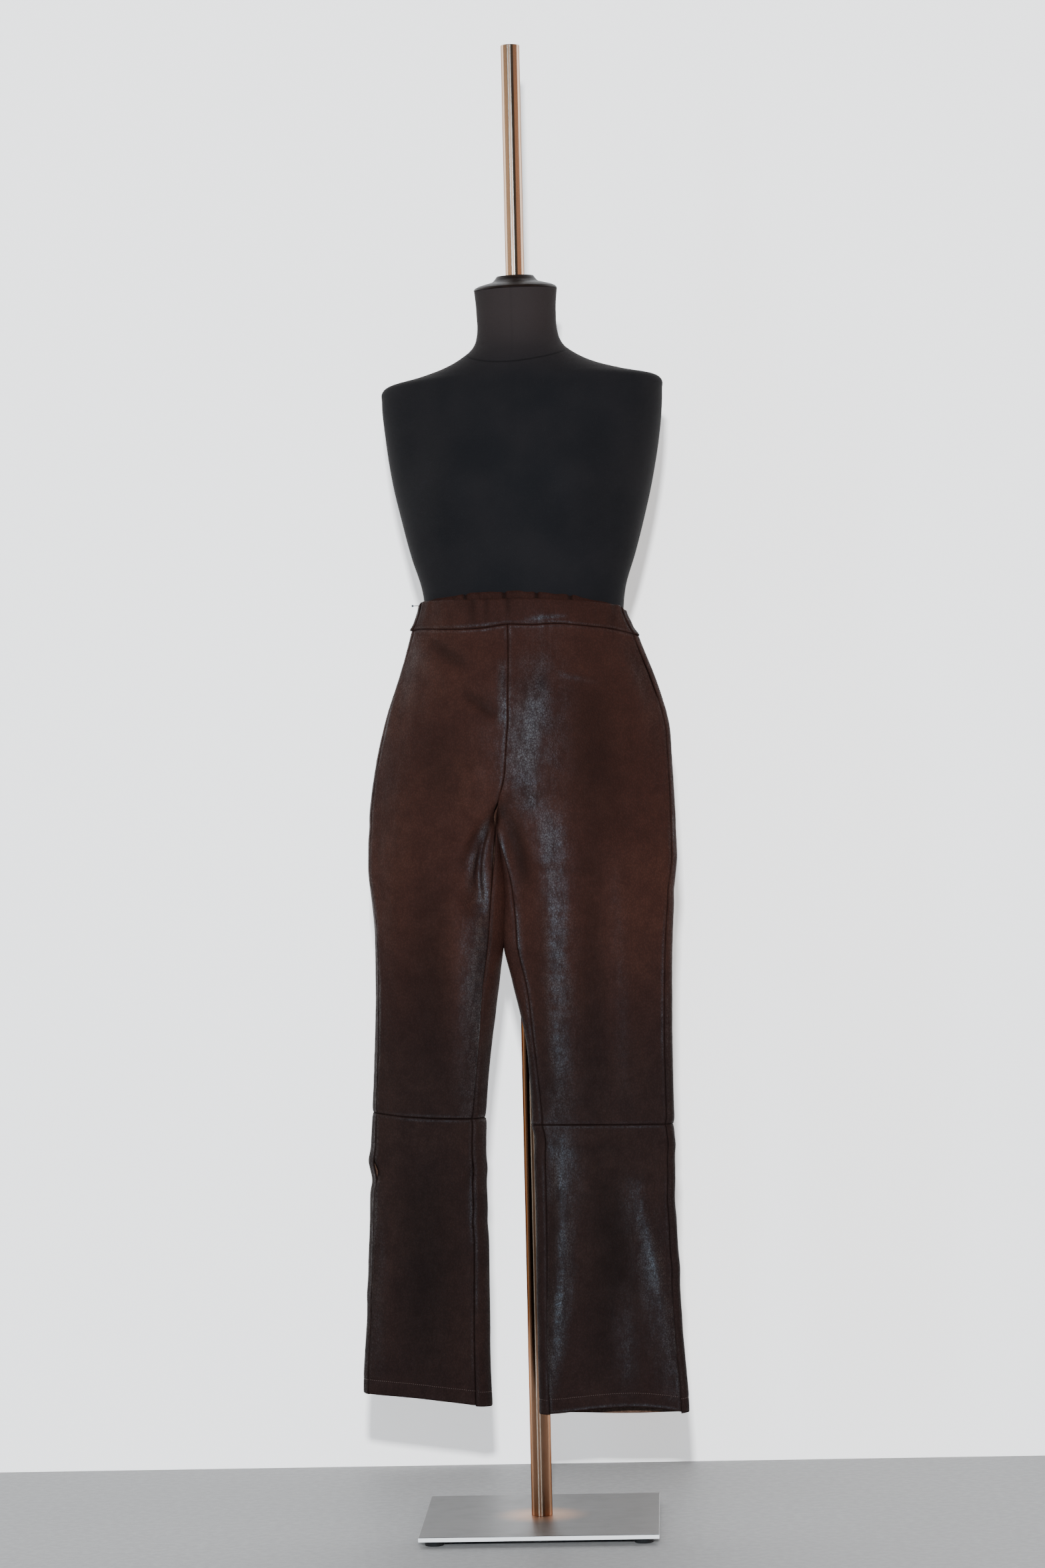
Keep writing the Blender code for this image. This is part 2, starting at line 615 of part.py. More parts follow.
def add_stand(steel, dark, rubber):
    """Plate, feet, screw, both tubes, the height clamp and the ring under the form."""
    plate = add_object("base_plate", *box(PLATE_SIDE, PLATE_SIDE, PLATE_THICK), steel)
    plate.location.z = PLATE_BOTTOM + PLATE_THICK / 2.0
    bevel = plate.modifiers.new("edge", "BEVEL")
    bevel.width = 0.0008
    bevel.segments = 2
    reach = PLATE_SIDE / 2.0 - FOOT_INSET
    corners = [("front_left", 1, -1), ("front_right", -1, -1)]
    corners += [("back_left", 1, 1), ("back_right", -1, 1)]
    foot_profile = [
        (FOOT_RADIUS - 0.0008, 0.0),
        (FOOT_RADIUS, 0.0008),
        (FOOT_RADIUS, PLATE_BOTTOM - GAP),
    ]
    for corner, across, deep in corners:
        foot = add_turned(f"foot_{corner}", foot_profile, rubber)
        foot.location = (across * reach, deep * reach, 0.0)
    screw_head = [
        (SCREW_RADIUS - 0.001, SCREW_BOTTOM),
        (SCREW_RADIUS, SCREW_BOTTOM + 0.001),
        (SCREW_RADIUS, PLATE_BOTTOM - GAP),
    ]
    add_turned("pole_screw", screw_head, dark)
    plate_top = PLATE_BOTTOM + PLATE_THICK
    lower = [
        (RUNNING, plate_top + GAP),
        (LOWER_TUBE_RADIUS, plate_top + GAP),
        (LOWER_TUBE_RADIUS, LOWER_TUBE_TOP),
        (RUNNING, LOWER_TUBE_TOP),
    ]
    add_turned("lower_tube", lower, steel, hollow=True)
    step = LOWER_TUBE_TOP + GAP
    collar = [
        (LOWER_TUBE_RADIUS + GAP, COLLAR_BOTTOM),
        (COLLAR_RADIUS - 0.001, COLLAR_BOTTOM),
        (COLLAR_RADIUS, COLLAR_BOTTOM + 0.001),
        (COLLAR_RADIUS, COLLAR_TOP - 0.001),
        (COLLAR_RADIUS - 0.001, COLLAR_TOP),
        (RUNNING, COLLAR_TOP),
        (RUNNING, step),
        (LOWER_TUBE_RADIUS + GAP, step),
    ]
    add_turned("height_collar", collar, dark, hollow=True)
    knob_start = COLLAR_RADIUS + GAP
    knob = [
        (KNOB_STEM_RADIUS, knob_start),
        (KNOB_STEM_RADIUS, KNOB_STEM_END),
        (KNOB_RADIUS - 0.001, KNOB_STEM_END),
        (KNOB_RADIUS, KNOB_STEM_END + 0.001),
        (KNOB_RADIUS, KNOB_END - 0.001),
        (KNOB_RADIUS - 0.001, KNOB_END),
    ]
    made = add_turned("height_knob", knob, dark)
    place = Matrix.Translation((0.0, 0.0, (COLLAR_BOTTOM + COLLAR_TOP) / 2.0))
    made.matrix_world = place @ Matrix.Rotation(-math.pi / 2.0, 4, "X")
    inside = UPPER_TUBE_RADIUS - TUBE_WALL
    upper = [
        (inside, UPPER_TUBE_TOP - 0.003),
        (inside, UPPER_TUBE_BOTTOM),
        (UPPER_TUBE_RADIUS, UPPER_TUBE_BOTTOM),
        (UPPER_TUBE_RADIUS, UPPER_TUBE_TOP - 0.0015),
        (UPPER_TUBE_RADIUS - 0.0004, UPPER_TUBE_TOP - 0.0005),
        (UPPER_TUBE_RADIUS - 0.0015, UPPER_TUBE_TOP),
    ]
    add_turned("upper_tube", upper, steel)
    ring_top = TORSO_BOTTOM - GAP
    ring = [
        (RUNNING, ring_top - REST_RING_HEIGHT),
        (REST_RING_RADIUS, ring_top - REST_RING_HEIGHT),
        (REST_RING_RADIUS, ring_top),
        (RUNNING, ring_top),
    ]
    add_turned("rest_ring", ring, dark, hollow=True)


def box(width, depth, height):
    """Corner points and faces of a block about its own centre."""
    points = []
    for x in (-width / 2.0, width / 2.0):
        for y in (-depth / 2.0, depth / 2.0):
            for z in (-height / 2.0, height / 2.0):
                points.append((x, y, z))
    faces = [(0, 1, 3, 2), (4, 6, 7, 5), (0, 4, 5, 1), (2, 3, 7, 6), (0, 2, 6, 4), (1, 5, 7, 3)]
    return points, faces


def main():
    for old in list(bpy.data.objects):
        bpy.data.objects.remove(old, do_unlink=True)
    leather = material("dark_brown_leather", (0.045, 0.022, 0.016), 0.42)
    jersey = material("black_jersey", (0.012, 0.012, 0.014), 0.85)
    lacquer = material("dark_lacquer", (0.020, 0.013, 0.010), 0.15)
    steel = material("brushed_steel", (0.50, 0.49, 0.48), 0.35, 1.0)
    dark = material("blackened_steel", (0.05, 0.05, 0.05), 0.45, 1.0)
    rubber = material("black_rubber", (0.02, 0.02, 0.02), 0.8)
    form = bpy.data.objects.new("form_axis", None)
    form.rotation_euler.z = FORM_TURN
    bpy.context.collection.objects.link(form)
    add_torso(form, jersey)
    add_neck_cap(form, lacquer)
    add_trousers(form, leather)
    add_pin(form, steel)
    add_stand(steel, dark, rubber)


main()
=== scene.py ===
"""Looks for the leather trousers on their dress form: cloth, form, stand, floor, light, camera.

The cloth pieces are thin shells made on the same sections as the solids they replace, with the
seams, gathers, creases and stitches that the solids leave out.  Everything is in metres, apart
from the tables, whose rows are in millimetres and pass through in_metres.
"""
import math
from collections import namedtuple

import bpy
import numpy as np
from mathutils import Matrix, Vector


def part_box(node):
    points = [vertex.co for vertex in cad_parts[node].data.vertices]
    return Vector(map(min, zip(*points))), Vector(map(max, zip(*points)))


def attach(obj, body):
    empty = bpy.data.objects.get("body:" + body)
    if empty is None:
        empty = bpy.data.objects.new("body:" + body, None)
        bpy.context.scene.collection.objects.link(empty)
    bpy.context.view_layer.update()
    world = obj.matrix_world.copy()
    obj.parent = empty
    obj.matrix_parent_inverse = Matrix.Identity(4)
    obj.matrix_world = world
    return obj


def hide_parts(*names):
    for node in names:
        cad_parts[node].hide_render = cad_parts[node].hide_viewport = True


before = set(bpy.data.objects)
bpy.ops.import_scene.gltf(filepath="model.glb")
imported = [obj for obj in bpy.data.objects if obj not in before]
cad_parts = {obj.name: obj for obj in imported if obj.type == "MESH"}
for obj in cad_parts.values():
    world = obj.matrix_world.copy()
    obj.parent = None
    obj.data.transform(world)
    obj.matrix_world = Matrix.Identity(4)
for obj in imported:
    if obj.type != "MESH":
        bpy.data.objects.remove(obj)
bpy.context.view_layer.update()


def in_metres(kind, rows, last=1000):
    """Named rows of metres from rows of millimetres; last is what divides the last column."""
    return [kind(*(value / 1000 for value in row[:-1]), row[-1] / last) for row in rows]


# ---------------- the frame's sizes
GAP = 0.0003
FORM_TURN = math.radians(-6)
LEATHER = 0.0014
BAND_WALL = 0.0016
BACK_BAND_RISE = 0.01
SIDE_SEAM_INSET = 0.008
FOLD_FADE = 0.03
FOLD_END = 0.15
WRAP_POWER = 2.6
EDGE_RADIUS = 0.0046
EDGE_SHARE = 0.2
OPEN_FLATNESS = 2.5
LEG_FLATNESS = 2.2
CLOSING_START = 1
CLOSING_END = 0.84
UPPER_TUBE_RADIUS = 0.0123
LOWER_TUBE_RADIUS = 0.0137
RUNNING = UPPER_TUBE_RADIUS + GAP
SHOULDER_TILT = 0.017
SHOULDER_TILT_FROM = 1.44
SHOULDER_TILT_FULL = 1.5
NECK_TOP_TILT = 0.05
NECK_TILT_FROM = 1.57
TORSO_SHIFT = 0.003
BUST_APEX = (0.082, 1.362)
BUST_RADII = (0.05, 0.056)
BUST_RISE = 0.024
SIDES = ("right", "left")
PARTS = ("front", "back")
OUTWARD = {"right": -1, "left": 1}

# The form's sections from the top down; power shapes them from round to square.
TorsoRow = namedtuple("TorsoRow", "z width front back side power")
TORSO = in_metres(TorsoRow, [
    (1630, 54.7, 53, 53, 0, 2),
    (1602, 52.5, 50.5, 51, 0, 2),
    (1575, 53, 50.5, 52, 1, 2),
    (1556, 60, 53, 57, 2, 2),
    (1542, 78, 59, 66, 5, 2),
    (1530, 103.5, 64, 74, 9, 2),
    (1520, 138, 68, 81, 13, 2),
    (1512, 175, 71, 86, 16, 2),
    (1504, 186.5, 74, 90, 18, 2),
    (1492, 187, 79, 94, 18, 2.1),
    (1470, 186, 86, 98, 18, 2.15),
    (1440, 182.5, 94, 99, 17, 2.2),
    (1405, 177.5, 101, 97, 14, 2.2),
    (1365, 170, 103, 93, 10, 2.2),
    (1325, 160.5, 99, 88, 6, 2.2),
    (1280, 148.5, 92, 82, 2, 2.15),
    (1235, 135, 86, 76, -2, 2.1),
    (1195, 131.5, 84.5, 74, -3, 2.1),
    (1155, 139.5, 87, 80, -2, 2.1),
    (1110, 154, 92, 93, 0, 2.15),
    (1060, 167, 96, 108, 3, 2.2),
    (1010, 174, 96, 117, 5, 2.2),
    (960, 174, 94, 113, 6, 2.2),
    (915, 168, 90, 102, 6, 2.2),
    (904, 163, 86, 96, 6, 2.2),
    (900, 155, 80, 88, 6, 2.2),
], 1)
NECK_TOP = TORSO[0].z
TORSO_BOTTOM = TORSO[-1].z
CAP_RADIUS = TORSO[0].width + GAP

# Half sections of the hips, from the band's top edge and the waist seam down to where the layers
# start to close and to the crotch.
HipRow = namedtuple("HipRow", "z seam right left rise_right rise_left mid side front back")
HIPS = in_metres(HipRow, [
    (1218.5, -5, -128, 140.5, 1.7, -12.3, -92, -40, 11, 5.5),
    (1183.4, -5, -138, 155, -5.4, -20, -92, -42, 12, 5.5),
    (1130, -4, -153, 176.5, -2, -18, -101, -44, 15, 6),
    (1070, -4, -172.5, 193.5, -1, -15, -107.5, -48, 18, 8),
    (1020, -7, -184.5, 197, 0, -12, -111, -52, 20, 10),
    (985, -10, -190.5, 199, 0, -9, -113, -56, 21, 11),
    (932, -24, -195.5, 201.5, 0, -5, -113, -64, 21, 12),
])
BAND_TOP, WAIST_SEAM, *_, CLOSING_TOP, CROTCH = (row.z for row in HIPS)

# Half sections of the legs below the crotch, the last at the hem.
LegRow = namedtuple("LegRow", "z rise inner outer mid_in mid_out front back inseam")
LEGS = {}
LEGS["right"] = in_metres(LegRow, [
    (895, 0, -20.2, -196.5, -112, -74, 27, 18, 5),
    (840, 2, -15.4, -192.5, -109, -86, 35, 27, 15),
    (780, 4, -19, -188.2, -105, -93, 40, 34, 17),
    (720, 5, -28.5, -188.8, -101, -96, 40, 36, 17),
    (640, 7, -40, -192, -98, -96, 36, 34, 14),
    (546, 9, -49.2, -197.5, -96, -95, 31, 30, 14),
    (480, 10, -51.7, -201, -95, -95, 29, 29, 14),
    (400, 13, -50.2, -204, -95, -95, 27, 28, 15),
    (280, 16, -51.7, -210, -95, -95, 26, 28, 16),
    (171.5, 18, -50, -217, -95, -95, 26, 28, 18),
])
LEGS["left"] = in_metres(LegRow, [
    (895, -4, -19.8, 203, -112, -74, 23, 15, 5),
    (840, -4, -15, 201, -109, -86, 24, 17, 11),
    (780, -3, -18.4, 198, -105, -93, 23, 18, 18),
    (720, -2, -7.7, 196.5, -102, -96, 21, 18, 18),
    (640, -1, 7.5, 195, -99, -96, 19, 16, 11),
    (536.6, -1, 13.4, 195.4, -97, -95, 17, 15, 14),
    (470, -1, 14.3, 195.6, -96, -95, 16, 15, 15),
    (390, 0, 14.2, 196.4, -95, -95, 16, 16, 15),
    (270, 1, 13.9, 199.5, -95, -95, 18, 18, 14),
    (161.5, 2, 13.7, 206.8, -95, -95, 19, 19, 14),
])
KNEE = {side: LEGS[side][5].z for side in SIDES}
HEM = {side: LEGS[side][-1].z for side in SIDES}

# Broad folds, straight from (x0, z0) to (x1, z1).
Fold = namedtuple("Fold", "x0 z0 x1 z1 width lift")
FOLDS = {}
FOLDS["front"] = in_metres(Fold, [
    (-36, 925, -52, 815, 13, -11),
    (28, 1110, 24, 960, 32, 6),
    (58, 830, 56, 560, 26, 6),
    (-70, 840, -78, 600, 20, 5),
    (56, 510, 36, 185, 16, 5),
    (152, 460, 180, 230, 18, 4),
    (-120, 480, -105, 200, 24, 4),
])
FOLDS["back"] = in_metres(Fold, [
    (-90, 860, -100, 600, 24, 5),
    (110, 850, 105, 560, 26, 5),
    (-140, 480, -130, 220, 22, 4),
    (130, 470, 140, 210, 22, 4),
])

# Creases that the solids leave out: a bent path from (x0, z0) by (x1, z1) to (x2, z2), its width
# on the -X and on the +X side, and its lift, below 0 for a trough.
Crease = namedtuple("Crease", "x0 z0 x1 z1 x2 z2 low high lift")
CREASES = {}
CREASES["front"] = in_metres(Crease, [
    # off the right end of the waistband, down towards the centre front
    (-112, 1165, -85, 1148, -60, 1133, 8, 9, -3.4),
    (-122, 1150, -100, 1128, -74, 1112, 10, 10, 2.2),
    (-66, 1100, -37, 1081, -14, 1063, 10, 10, -3.4),
    (-10, 1128, -10.5, 1100, -12, 1070, 4, 3, 1.4),
    (-150, 1150, -165, 1090, -170, 1040, 6, 10, 2),
    # over the hips
    (28, 1130, 26, 1040, 22, 945, 26, 30, -2.6),
    (100, 1120, 102, 1020, 104, 900, 38, 40, -3.6),
    (-85, 1060, -95, 1000, -100, 940, 30, 34, -2.6),
    # from the crotch, over the right thigh
    (-4, 956, -40, 930, -66, 872, 8, 8, -4),
    (-29, 936, -52, 905, -59, 842, 5, 4, 3.4),
    (-30, 932, -51, 890, -49, 846, 4, 4.5, -4.2),
    (-33, 912, -47, 878, -36, 826, 3, 5, 3),
    (-26, 928, -34, 885, -24, 835, 4, 6, -4.4),
    (-22, 921, -11, 898, -6, 860, 4, 4, 2.4),
    (-14, 945, 6, 915, 12, 840, 10, 12, -5),
    # across the left hip
    (62, 1121, 85, 1112, 112, 1107, 4, 3.5, 1),
    (150, 1160, 168, 1110, 178, 1080, 10, 10, -1.8),
    (10, 868, 60, 862, 110, 868, 7, 7, -1.1),
    # down the thighs
    (-46, 860, -52, 730, -68, 580, 17, 11, 4),
    (-108, 880, -112, 730, -116, 570, 34, 30, -3.4),
    (50, 915, 50, 740, 44, 560, 24, 22, 4),
    (98, 900, 102, 740, 96, 560, 26, 24, -3),
    (132, 880, 133, 720, 137, 560, 18, 18, 2.2),
    # lower legs
    (52, 450, 53, 350, 28, 195, 16, 10, 4.2),
    (108, 500, 122, 360, 112, 200, 30, 30, -4),
    (146, 445, 176, 360, 194, 200, 18, 11, 4),
    (122, 330, 128, 270, 120, 200, 14, 14, 1.8),
    (20, 512, 80, 500, 160, 510, 9, 6, -1.2),
    (-56, 500, -66, 478, -72, 455, 5, 6, -2),
    (-212, 506, -200, 490, -188, 470, 4, 5, -6),
    (-125, 520, -128, 360, -128, 190, 40, 40, -3.4),
    (-186, 475, -186, 380, -190, 220, 14, 14, 1.8),
])
CREASES["back"] = in_metres(Crease, [
    (-120, 1172, -95, 1140, -60, 1120, 10, 12, -1.4),
    (60, 1176, 85, 1140, 120, 1110, 10, 12, -1.4),
    (-30, 950, -70, 905, -110, 880, 12, 14, 3),
    (-30, 940, -60, 880, -85, 850, 10, 10, -2.6),
    (-20, 950, 30, 905, 75, 885, 12, 14, 3),
    (-18, 940, 24, 880, 50, 845, 10, 10, -2.6),
    (-60, 600, -110, 585, -160, 592, 10, 12, -1.8),
    (30, 592, 80, 578, 150, 588, 10, 12, -1.8),
    (-70, 500, -110, 480, -150, 492, 10, 10, -1.5),
    (40, 490, 90, 474, 140, 482, 10, 10, -1.5),
    (-150, 440, -165, 360, -160, 240, 16, 14, 2.2),
    (70, 430, 80, 330, 62, 220, 14, 14, 2.2),
])
# Where the leather is burnished and its colour painted with a darker, bluer sheen tint: on the crests
# that stand forward.  Here lift is how much.
BURNISH_AND_SHEEN = {}
BURNISH_AND_SHEEN["front"] = in_metres(Crease, [
    (42, 1150, 30, 1040, 30, 930, 44, 36, 0.42),
    (34, 1130, 18, 1040, 12, 945, 18, 18, 0.4),
    (36, 1115, 40, 1106, 44, 1096, 8, 9, 0.45),
    (62, 1121, 85, 1112, 112, 1107, 3, 2.5, 0.6),
    (-3, 860, 2, 740, 12, 600, 5, 6, 0.55),
    (20, 972, 22, 955, 26, 940, 10, 12, 0.5),
    (42, 945, 46, 925, 50, 870, 16, 18, 0.5),
    (-10.5, 1135, -10.5, 1100, -12, 1060, 5, 4, 0.9),
    (-29, 936, -52, 905, -59, 842, 4, 3, 0.95),
    (-33, 912, -47, 878, -36, 826, 3, 4, 0.85),
    (-42, 872, -47, 740, -62, 565, 16, 9, 1.3),
    (-30, 850, -38, 780, -47, 700, 6, 4, 0.6),
    (-22, 921, -11, 898, -6, 845, 4, 4, 0.6),
    (50, 905, 60, 760, 51, 545, 15, 17, 0.85),
    (132, 880, 133, 720, 137, 560, 9, 9, 0.1),
    (44, 540, 50, 480, 54, 430, 18, 20, 0.6),
    (57, 450, 62, 350, 30, 190, 12, 8, 1.1),
    (146, 450, 172, 360, 192, 190, 18, 14, 0.75),
    (128, 320, 132, 250, 131, 185, 14, 14, 0.18),
    (-68, 490, -62, 360, -60, 200, 6, 5, 0.35),
    (-190, 460, -192, 340, -196, 200, 10, 8, 0.3),
    (20, 1190, 50, 1192, 70, 1192, 3, 3, 0.7),
    (-128, 1165, -140, 1130, -150, 1080, 10, 12, 0.25),
    (150, 1160, 172, 1100, 184, 1020, 12, 12, 0.25),
], 1)
BURNISH_AND_SHEEN["back"] = in_metres(Crease, [
    (-76, 1110, -92, 1030, -84, 955, 36, 30, 0.42),
    (94, 1080, 108, 1010, 98, 930, 30, 36, 0.36),
    (-82, 850, -100, 740, -94, 640, 20, 14, 0.4),
    (-128, 760, -136, 680, -132, 575, 9, 12, 0.22),
    (100, 820, 90, 700, 80, 590, 14, 22, 0.46),
    (-156, 420, -168, 340, -160, 240, 16, 12, 0.34),
    (96, 470, 118, 380, 142, 250, 12, 17, 0.44),
    (150, 330, 160, 270, 166, 200, 8, 10, 0.24),
], 1)

# Small kinks of the legs' edges: at height z an edge stands out by push, fading over half.
Kink = namedtuple("Kink", "z push half")
KINKS = {edge: in_metres(Kink, rows) for edge, rows in {
    ("right", "outer"): ((482, 2.2, 10), (455, -2.6, 12), (546, -1.2, 6), (300, 1, 20), (860, 1.4, 20)),
    ("right", "inner"): ((546, -1.4, 6), (480, 1.8, 12), (410, -1.4, 14)),
    ("left", "outer"): ((536.6, -1.6, 6), (510, 1.4, 10), (440, -1.4, 18), (350, 1.2, 16),
                        (880, 1.2, 16), (840, -1, 12)),
    ("left", "inner"): ((536.6, 1.2, 6), (515, -1.8, 12)),
}.items()}


# ---------------- sections and surfaces
def smoothstep(x, low=0, high=1):
    """From 0 at low to 1 at high, level at both."""
    t = np.clip((x - low) / (high - low), 0, 1)
    return t * t * (3 - 2 * t)


def bell(x, half, centre=0):
    return np.exp(-(((x - centre) / half) ** 2))


def read_table(rows, heights):
    """The table's columns at each height, as a named row of columns: cubic through the rows."""
    table = np.array(rows)
    z = table[:, 0]
    secants = np.diff(table, axis=0) / np.diff(z)[:, None]
    slopes = np.zeros_like(table)
    inner = (table[2:] - table[:-2]) / (z[2:] - z[:-2])[:, None]
    slopes[1:-1] = np.where(secants[1:] * secants[:-1] > 0, inner, 0)
    i = np.clip(np.searchsorted(-z, -heights, side="right") - 1, 0, len(z) - 2)
    span = (z[i + 1] - z[i])[:, None]
    t = (heights - z[i])[:, None] / span
    values = (2 * t**3 - 3 * t**2 + 1) * table[i] + (t**3 - 2 * t**2 + t) * slopes[i] * span
    values += (-2 * t**3 + 3 * t**2) * table[i + 1] + (t**3 - t**2) * slopes[i + 1] * span
    return type(rows[0])(*values.T[..., None])


def hip_section(hip, side):
    """A row of the hips as one side's LegRow."""
    rise = getattr(hip, "rise_" + side)
    outer = getattr(hip, side)
    return LegRow(hip.z, rise, hip.seam, outer, hip.mid, hip.side, hip.front, hip.back, 0)


HIP_ROWS = {side: [hip_section(hip, side) for hip in HIPS] for side in SIDES}
LEG_ROWS = {side: HIP_ROWS[side][-1:] + LEGS[side] for side in SIDES}


def kinked(side, rows, z):
    """The sections with their inner and outer edges kinked."""
    inner, outer = (
        OUTWARD[side] * sum(kink.push * bell(z, kink.half, kink.z) for kink in KINKS[side, edge])
        for edge in ("inner", "outer"))
    return rows._replace(inner=rows.inner - inner, outer=rows.outer + outer)


def sections(side, heights):
    """Half sections at the heights, as a LegRow of columns, and how far each is closed."""
    z = heights[:, None]
    above = read_table(HIP_ROWS[side], np.maximum(heights, CROTCH))
    below = read_table(LEG_ROWS[side], np.minimum(heights, CROTCH))
    rows = LegRow(*(np.where(z > CROTCH, a, b) for a, b in zip(above, below)))
    tau = np.clip((CLOSING_TOP - z) / (CLOSING_TOP - CROTCH), 0, 1)
    return kinked(side, rows, z), 1 - np.sqrt(1 - tau * tau)


def rounding(distance, radius):
    left = 1 - np.clip(distance / radius, 0, 1)
    return np.sqrt(np.maximum(1 - left * left, 0))


def fold_lift(folds, x, z):
    total = np.zeros_like(x)
    for fold in folds:
        along_x = fold.x1 - fold.x0
        along_z = fold.z1 - fold.z0
        length = math.hypot(along_x, along_z)
        s = ((x - fold.x0) * along_x + (z - fold.z0) * along_z) / length**2
        across = ((x - fold.x0) * along_z - (z - fold.z0) * along_x) / length
        ends = smoothstep(s, -FOLD_END, FOLD_END)
        ends *= smoothstep(s, 1 + FOLD_END, 1 - FOLD_END)
        total += fold.lift * ends * bell(across, fold.width)
    return total


def surface(side, heights, turn):
    """Points of the outer face: turn is a grid with a row for each height."""
    row, closed = sections(side, heights)
    z = heights[:, None]
    inner = row.inner + np.where(closed > 0, OUTWARD[side] * GAP / 2, 0)
    width = row.outer - inner
    turn = np.mod(turn, 2 * math.pi)
    share = (1 - np.cos(turn)) / 2
    x = inner + width * share
    on_front = turn < math.pi
    stand_off = np.where(on_front, row.front, row.back)
    edge = EDGE_RADIUS + EDGE_SHARE * stand_off
    from_inner = np.abs(width) * share
    from_outer = np.abs(width) * (1 - share)
    leg = smoothstep(z, CLOSING_START, CLOSING_END)
    fall = (1 - leg) * share**OPEN_FLATNESS + leg * np.abs(2 * share - 1) ** LEG_FLATNESS
    shape = edge + (stand_off - edge) * (1 - fall)
    shape *= (1 - closed) + closed * rounding(from_inner, edge)
    shape *= rounding(from_outer, edge)
    middle = row.mid_in + (row.mid_out - row.mid_in) * share**WRAP_POWER
    climb = np.clip((z - WAIST_SEAM) / (BAND_TOP - WAIST_SEAM), 0, None)
    height = z + row.rise * share**2
    height += np.where(on_front, 0, BACK_BAND_RISE * climb * (1 - share**2))
    fade = smoothstep(from_outer, 0, FOLD_FADE)
    fade *= 1 - closed * smoothstep(from_inner, FOLD_FADE, 0)
    front, back = (fold_lift(FOLDS[part], x, height) for part in PARTS)
    shape += np.where(on_front, front, back) * fade
    slope = (row.mid_out - row.mid_in) * WRAP_POWER * share ** (WRAP_POWER - 1) / width
    off = np.where(on_front, shape, -shape) / np.hypot(slope, 1)
    return np.stack([x + off * slope, middle - off, height], axis=-1)


FINE_STEPS = 720
EDGE_STEPS = np.array([0, 0.0004, 0.0008, 0.0013, 0.002, 0.003, 0.0044, 0.0062, 0.0085])
SEAM_SLIT = 6e-5


def graded(sizes, step):
    """Places from 0 to each size, a row for each, close together at both ends."""
    sizes = np.reshape(sizes, (-1, 1))
    between = sizes - 2 * EDGE_STEPS[-1]
    count = max(int(round(between.max() / step)), 4)
    middle = EDGE_STEPS[-1] + np.arange(1, count) / count * between
    return np.hstack([EDGE_STEPS + 0 * sizes, middle, sizes - EDGE_STEPS[::-1]])


def columns_of(side, part, heights, step):
    """Turns of a panel's columns, and each column's distance from both of its edges."""
    fine = np.linspace(0, 2 * math.pi, FINE_STEPS + 1)
    fine[-1] -= 1e-6
    points = surface(side, heights, np.tile(fine, (len(heights), 1)))
    steps = np.linalg.norm(np.diff(points[:, :, :2], axis=1), axis=2)
    lengths = np.pad(np.cumsum(steps, axis=1), ((0, 0), (1, 0)))
    row, _ = sections(side, heights)
    width = np.abs(row.outer - row.inner)
    inseam = np.arccos(1 - 2 * np.minimum(row.inseam / width, 1))
    side_seam = math.pi - np.arccos(1 - 2 * SIDE_SEAM_INSET / width)
    at_inseam, at_side = (
        np.array([np.interp(*turn, fine, track) for turn, track in zip(seam, lengths)])
        for seam in (inseam, side_seam))
    if part == "front":
        starts, ends = at_inseam + SEAM_SLIT, at_side - SEAM_SLIT
    else:
        starts, ends = at_side + SEAM_SLIT, lengths[:, -1] + at_inseam - SEAM_SLIT
    twice = np.concatenate([fine, 2 * math.pi + fine[1:]])
    tracks = np.hstack([lengths, lengths[:, -1:] + lengths[:, 1:]])
    places = graded(ends - starts, step)
    turns = [np.interp(*line, twice) for line in zip(starts[:, None] + places, tracks)]
    return np.array(turns), places, places[:, -1:] - places


# ---------------- noise and creases
RANDOM = np.random.RandomState(7)
LATTICE = RANDOM.uniform(-1, 1, (256, 256))


def noise(u, v, size_u, size_v, seed=0):
    """Smooth noise from -1 to 1 with cells of the given sizes in metres."""
    a = u / size_u + 13.7 * seed
    b = v / size_v + 31.3 * seed
    i = np.floor(a).astype(int)
    j = np.floor(b).astype(int)
    s = smoothstep(a - i)
    t = smoothstep(b - j)
    low, high = (
        LATTICE[i % 256, (j + q) % 256] * (1 - s) + LATTICE[(i + 1) % 256, (j + q) % 256] * s
        for q in (0, 1))
    return low * (1 - t) + high * t


def ripple(u, size, seed):
    """Noise along one line."""
    return noise(u, 0 * u, size, 1, seed)


def crease_lift(creases, x, z):
    """Lift of the bent creases at each point, wider or narrower on their two sides."""
    total = np.zeros_like(x)
    steps = np.linspace(0, 1, 25)
    for c in creases:
        reach = 3 * max(c.low, c.high)
        xs = c[0:6:2]
        zs = c[1:6:2]
        near = (x > min(xs) - reach) & (x < max(xs) + reach)
        near &= (z > min(zs) - reach) & (z < max(zs) + reach)
        px, pz = (
            (1 - steps) ** 2 * p[0] + 2 * steps * (1 - steps) * p[1] + steps**2 * p[2]
            for p in (xs, zs))
        qx = x[near][:, None] - px
        qz = z[near][:, None] - pz
        far = np.hypot(qx, qz)
        k = far.argmin(axis=1)
        pick = (np.arange(len(k)), k)
        tangent_x = np.gradient(px)[k]
        tangent_z = np.gradient(pz)[k]
        cross = qx[pick] * tangent_z - qz[pick] * tangent_x
        on_low = np.where(tangent_z < 0, cross, -cross) > 0
        ends = np.sin(math.pi * np.clip(steps[k] * 0.9 + 0.05, 0, 1)) ** 0.7
        total[near] += c.lift * ends * bell(far[pick], np.where(on_low, c.low, c.high))
    return total


# ---------------- building meshes
def turned(points):
    """Points of the form's own frame, turned with it on the pole."""
    c = math.cos(FORM_TURN)
    s = math.sin(FORM_TURN)
    x, y, z = np.moveaxis(points, -1, 0)
    return np.stack([x * c - y * s, x * s + y * c, z], axis=-1)


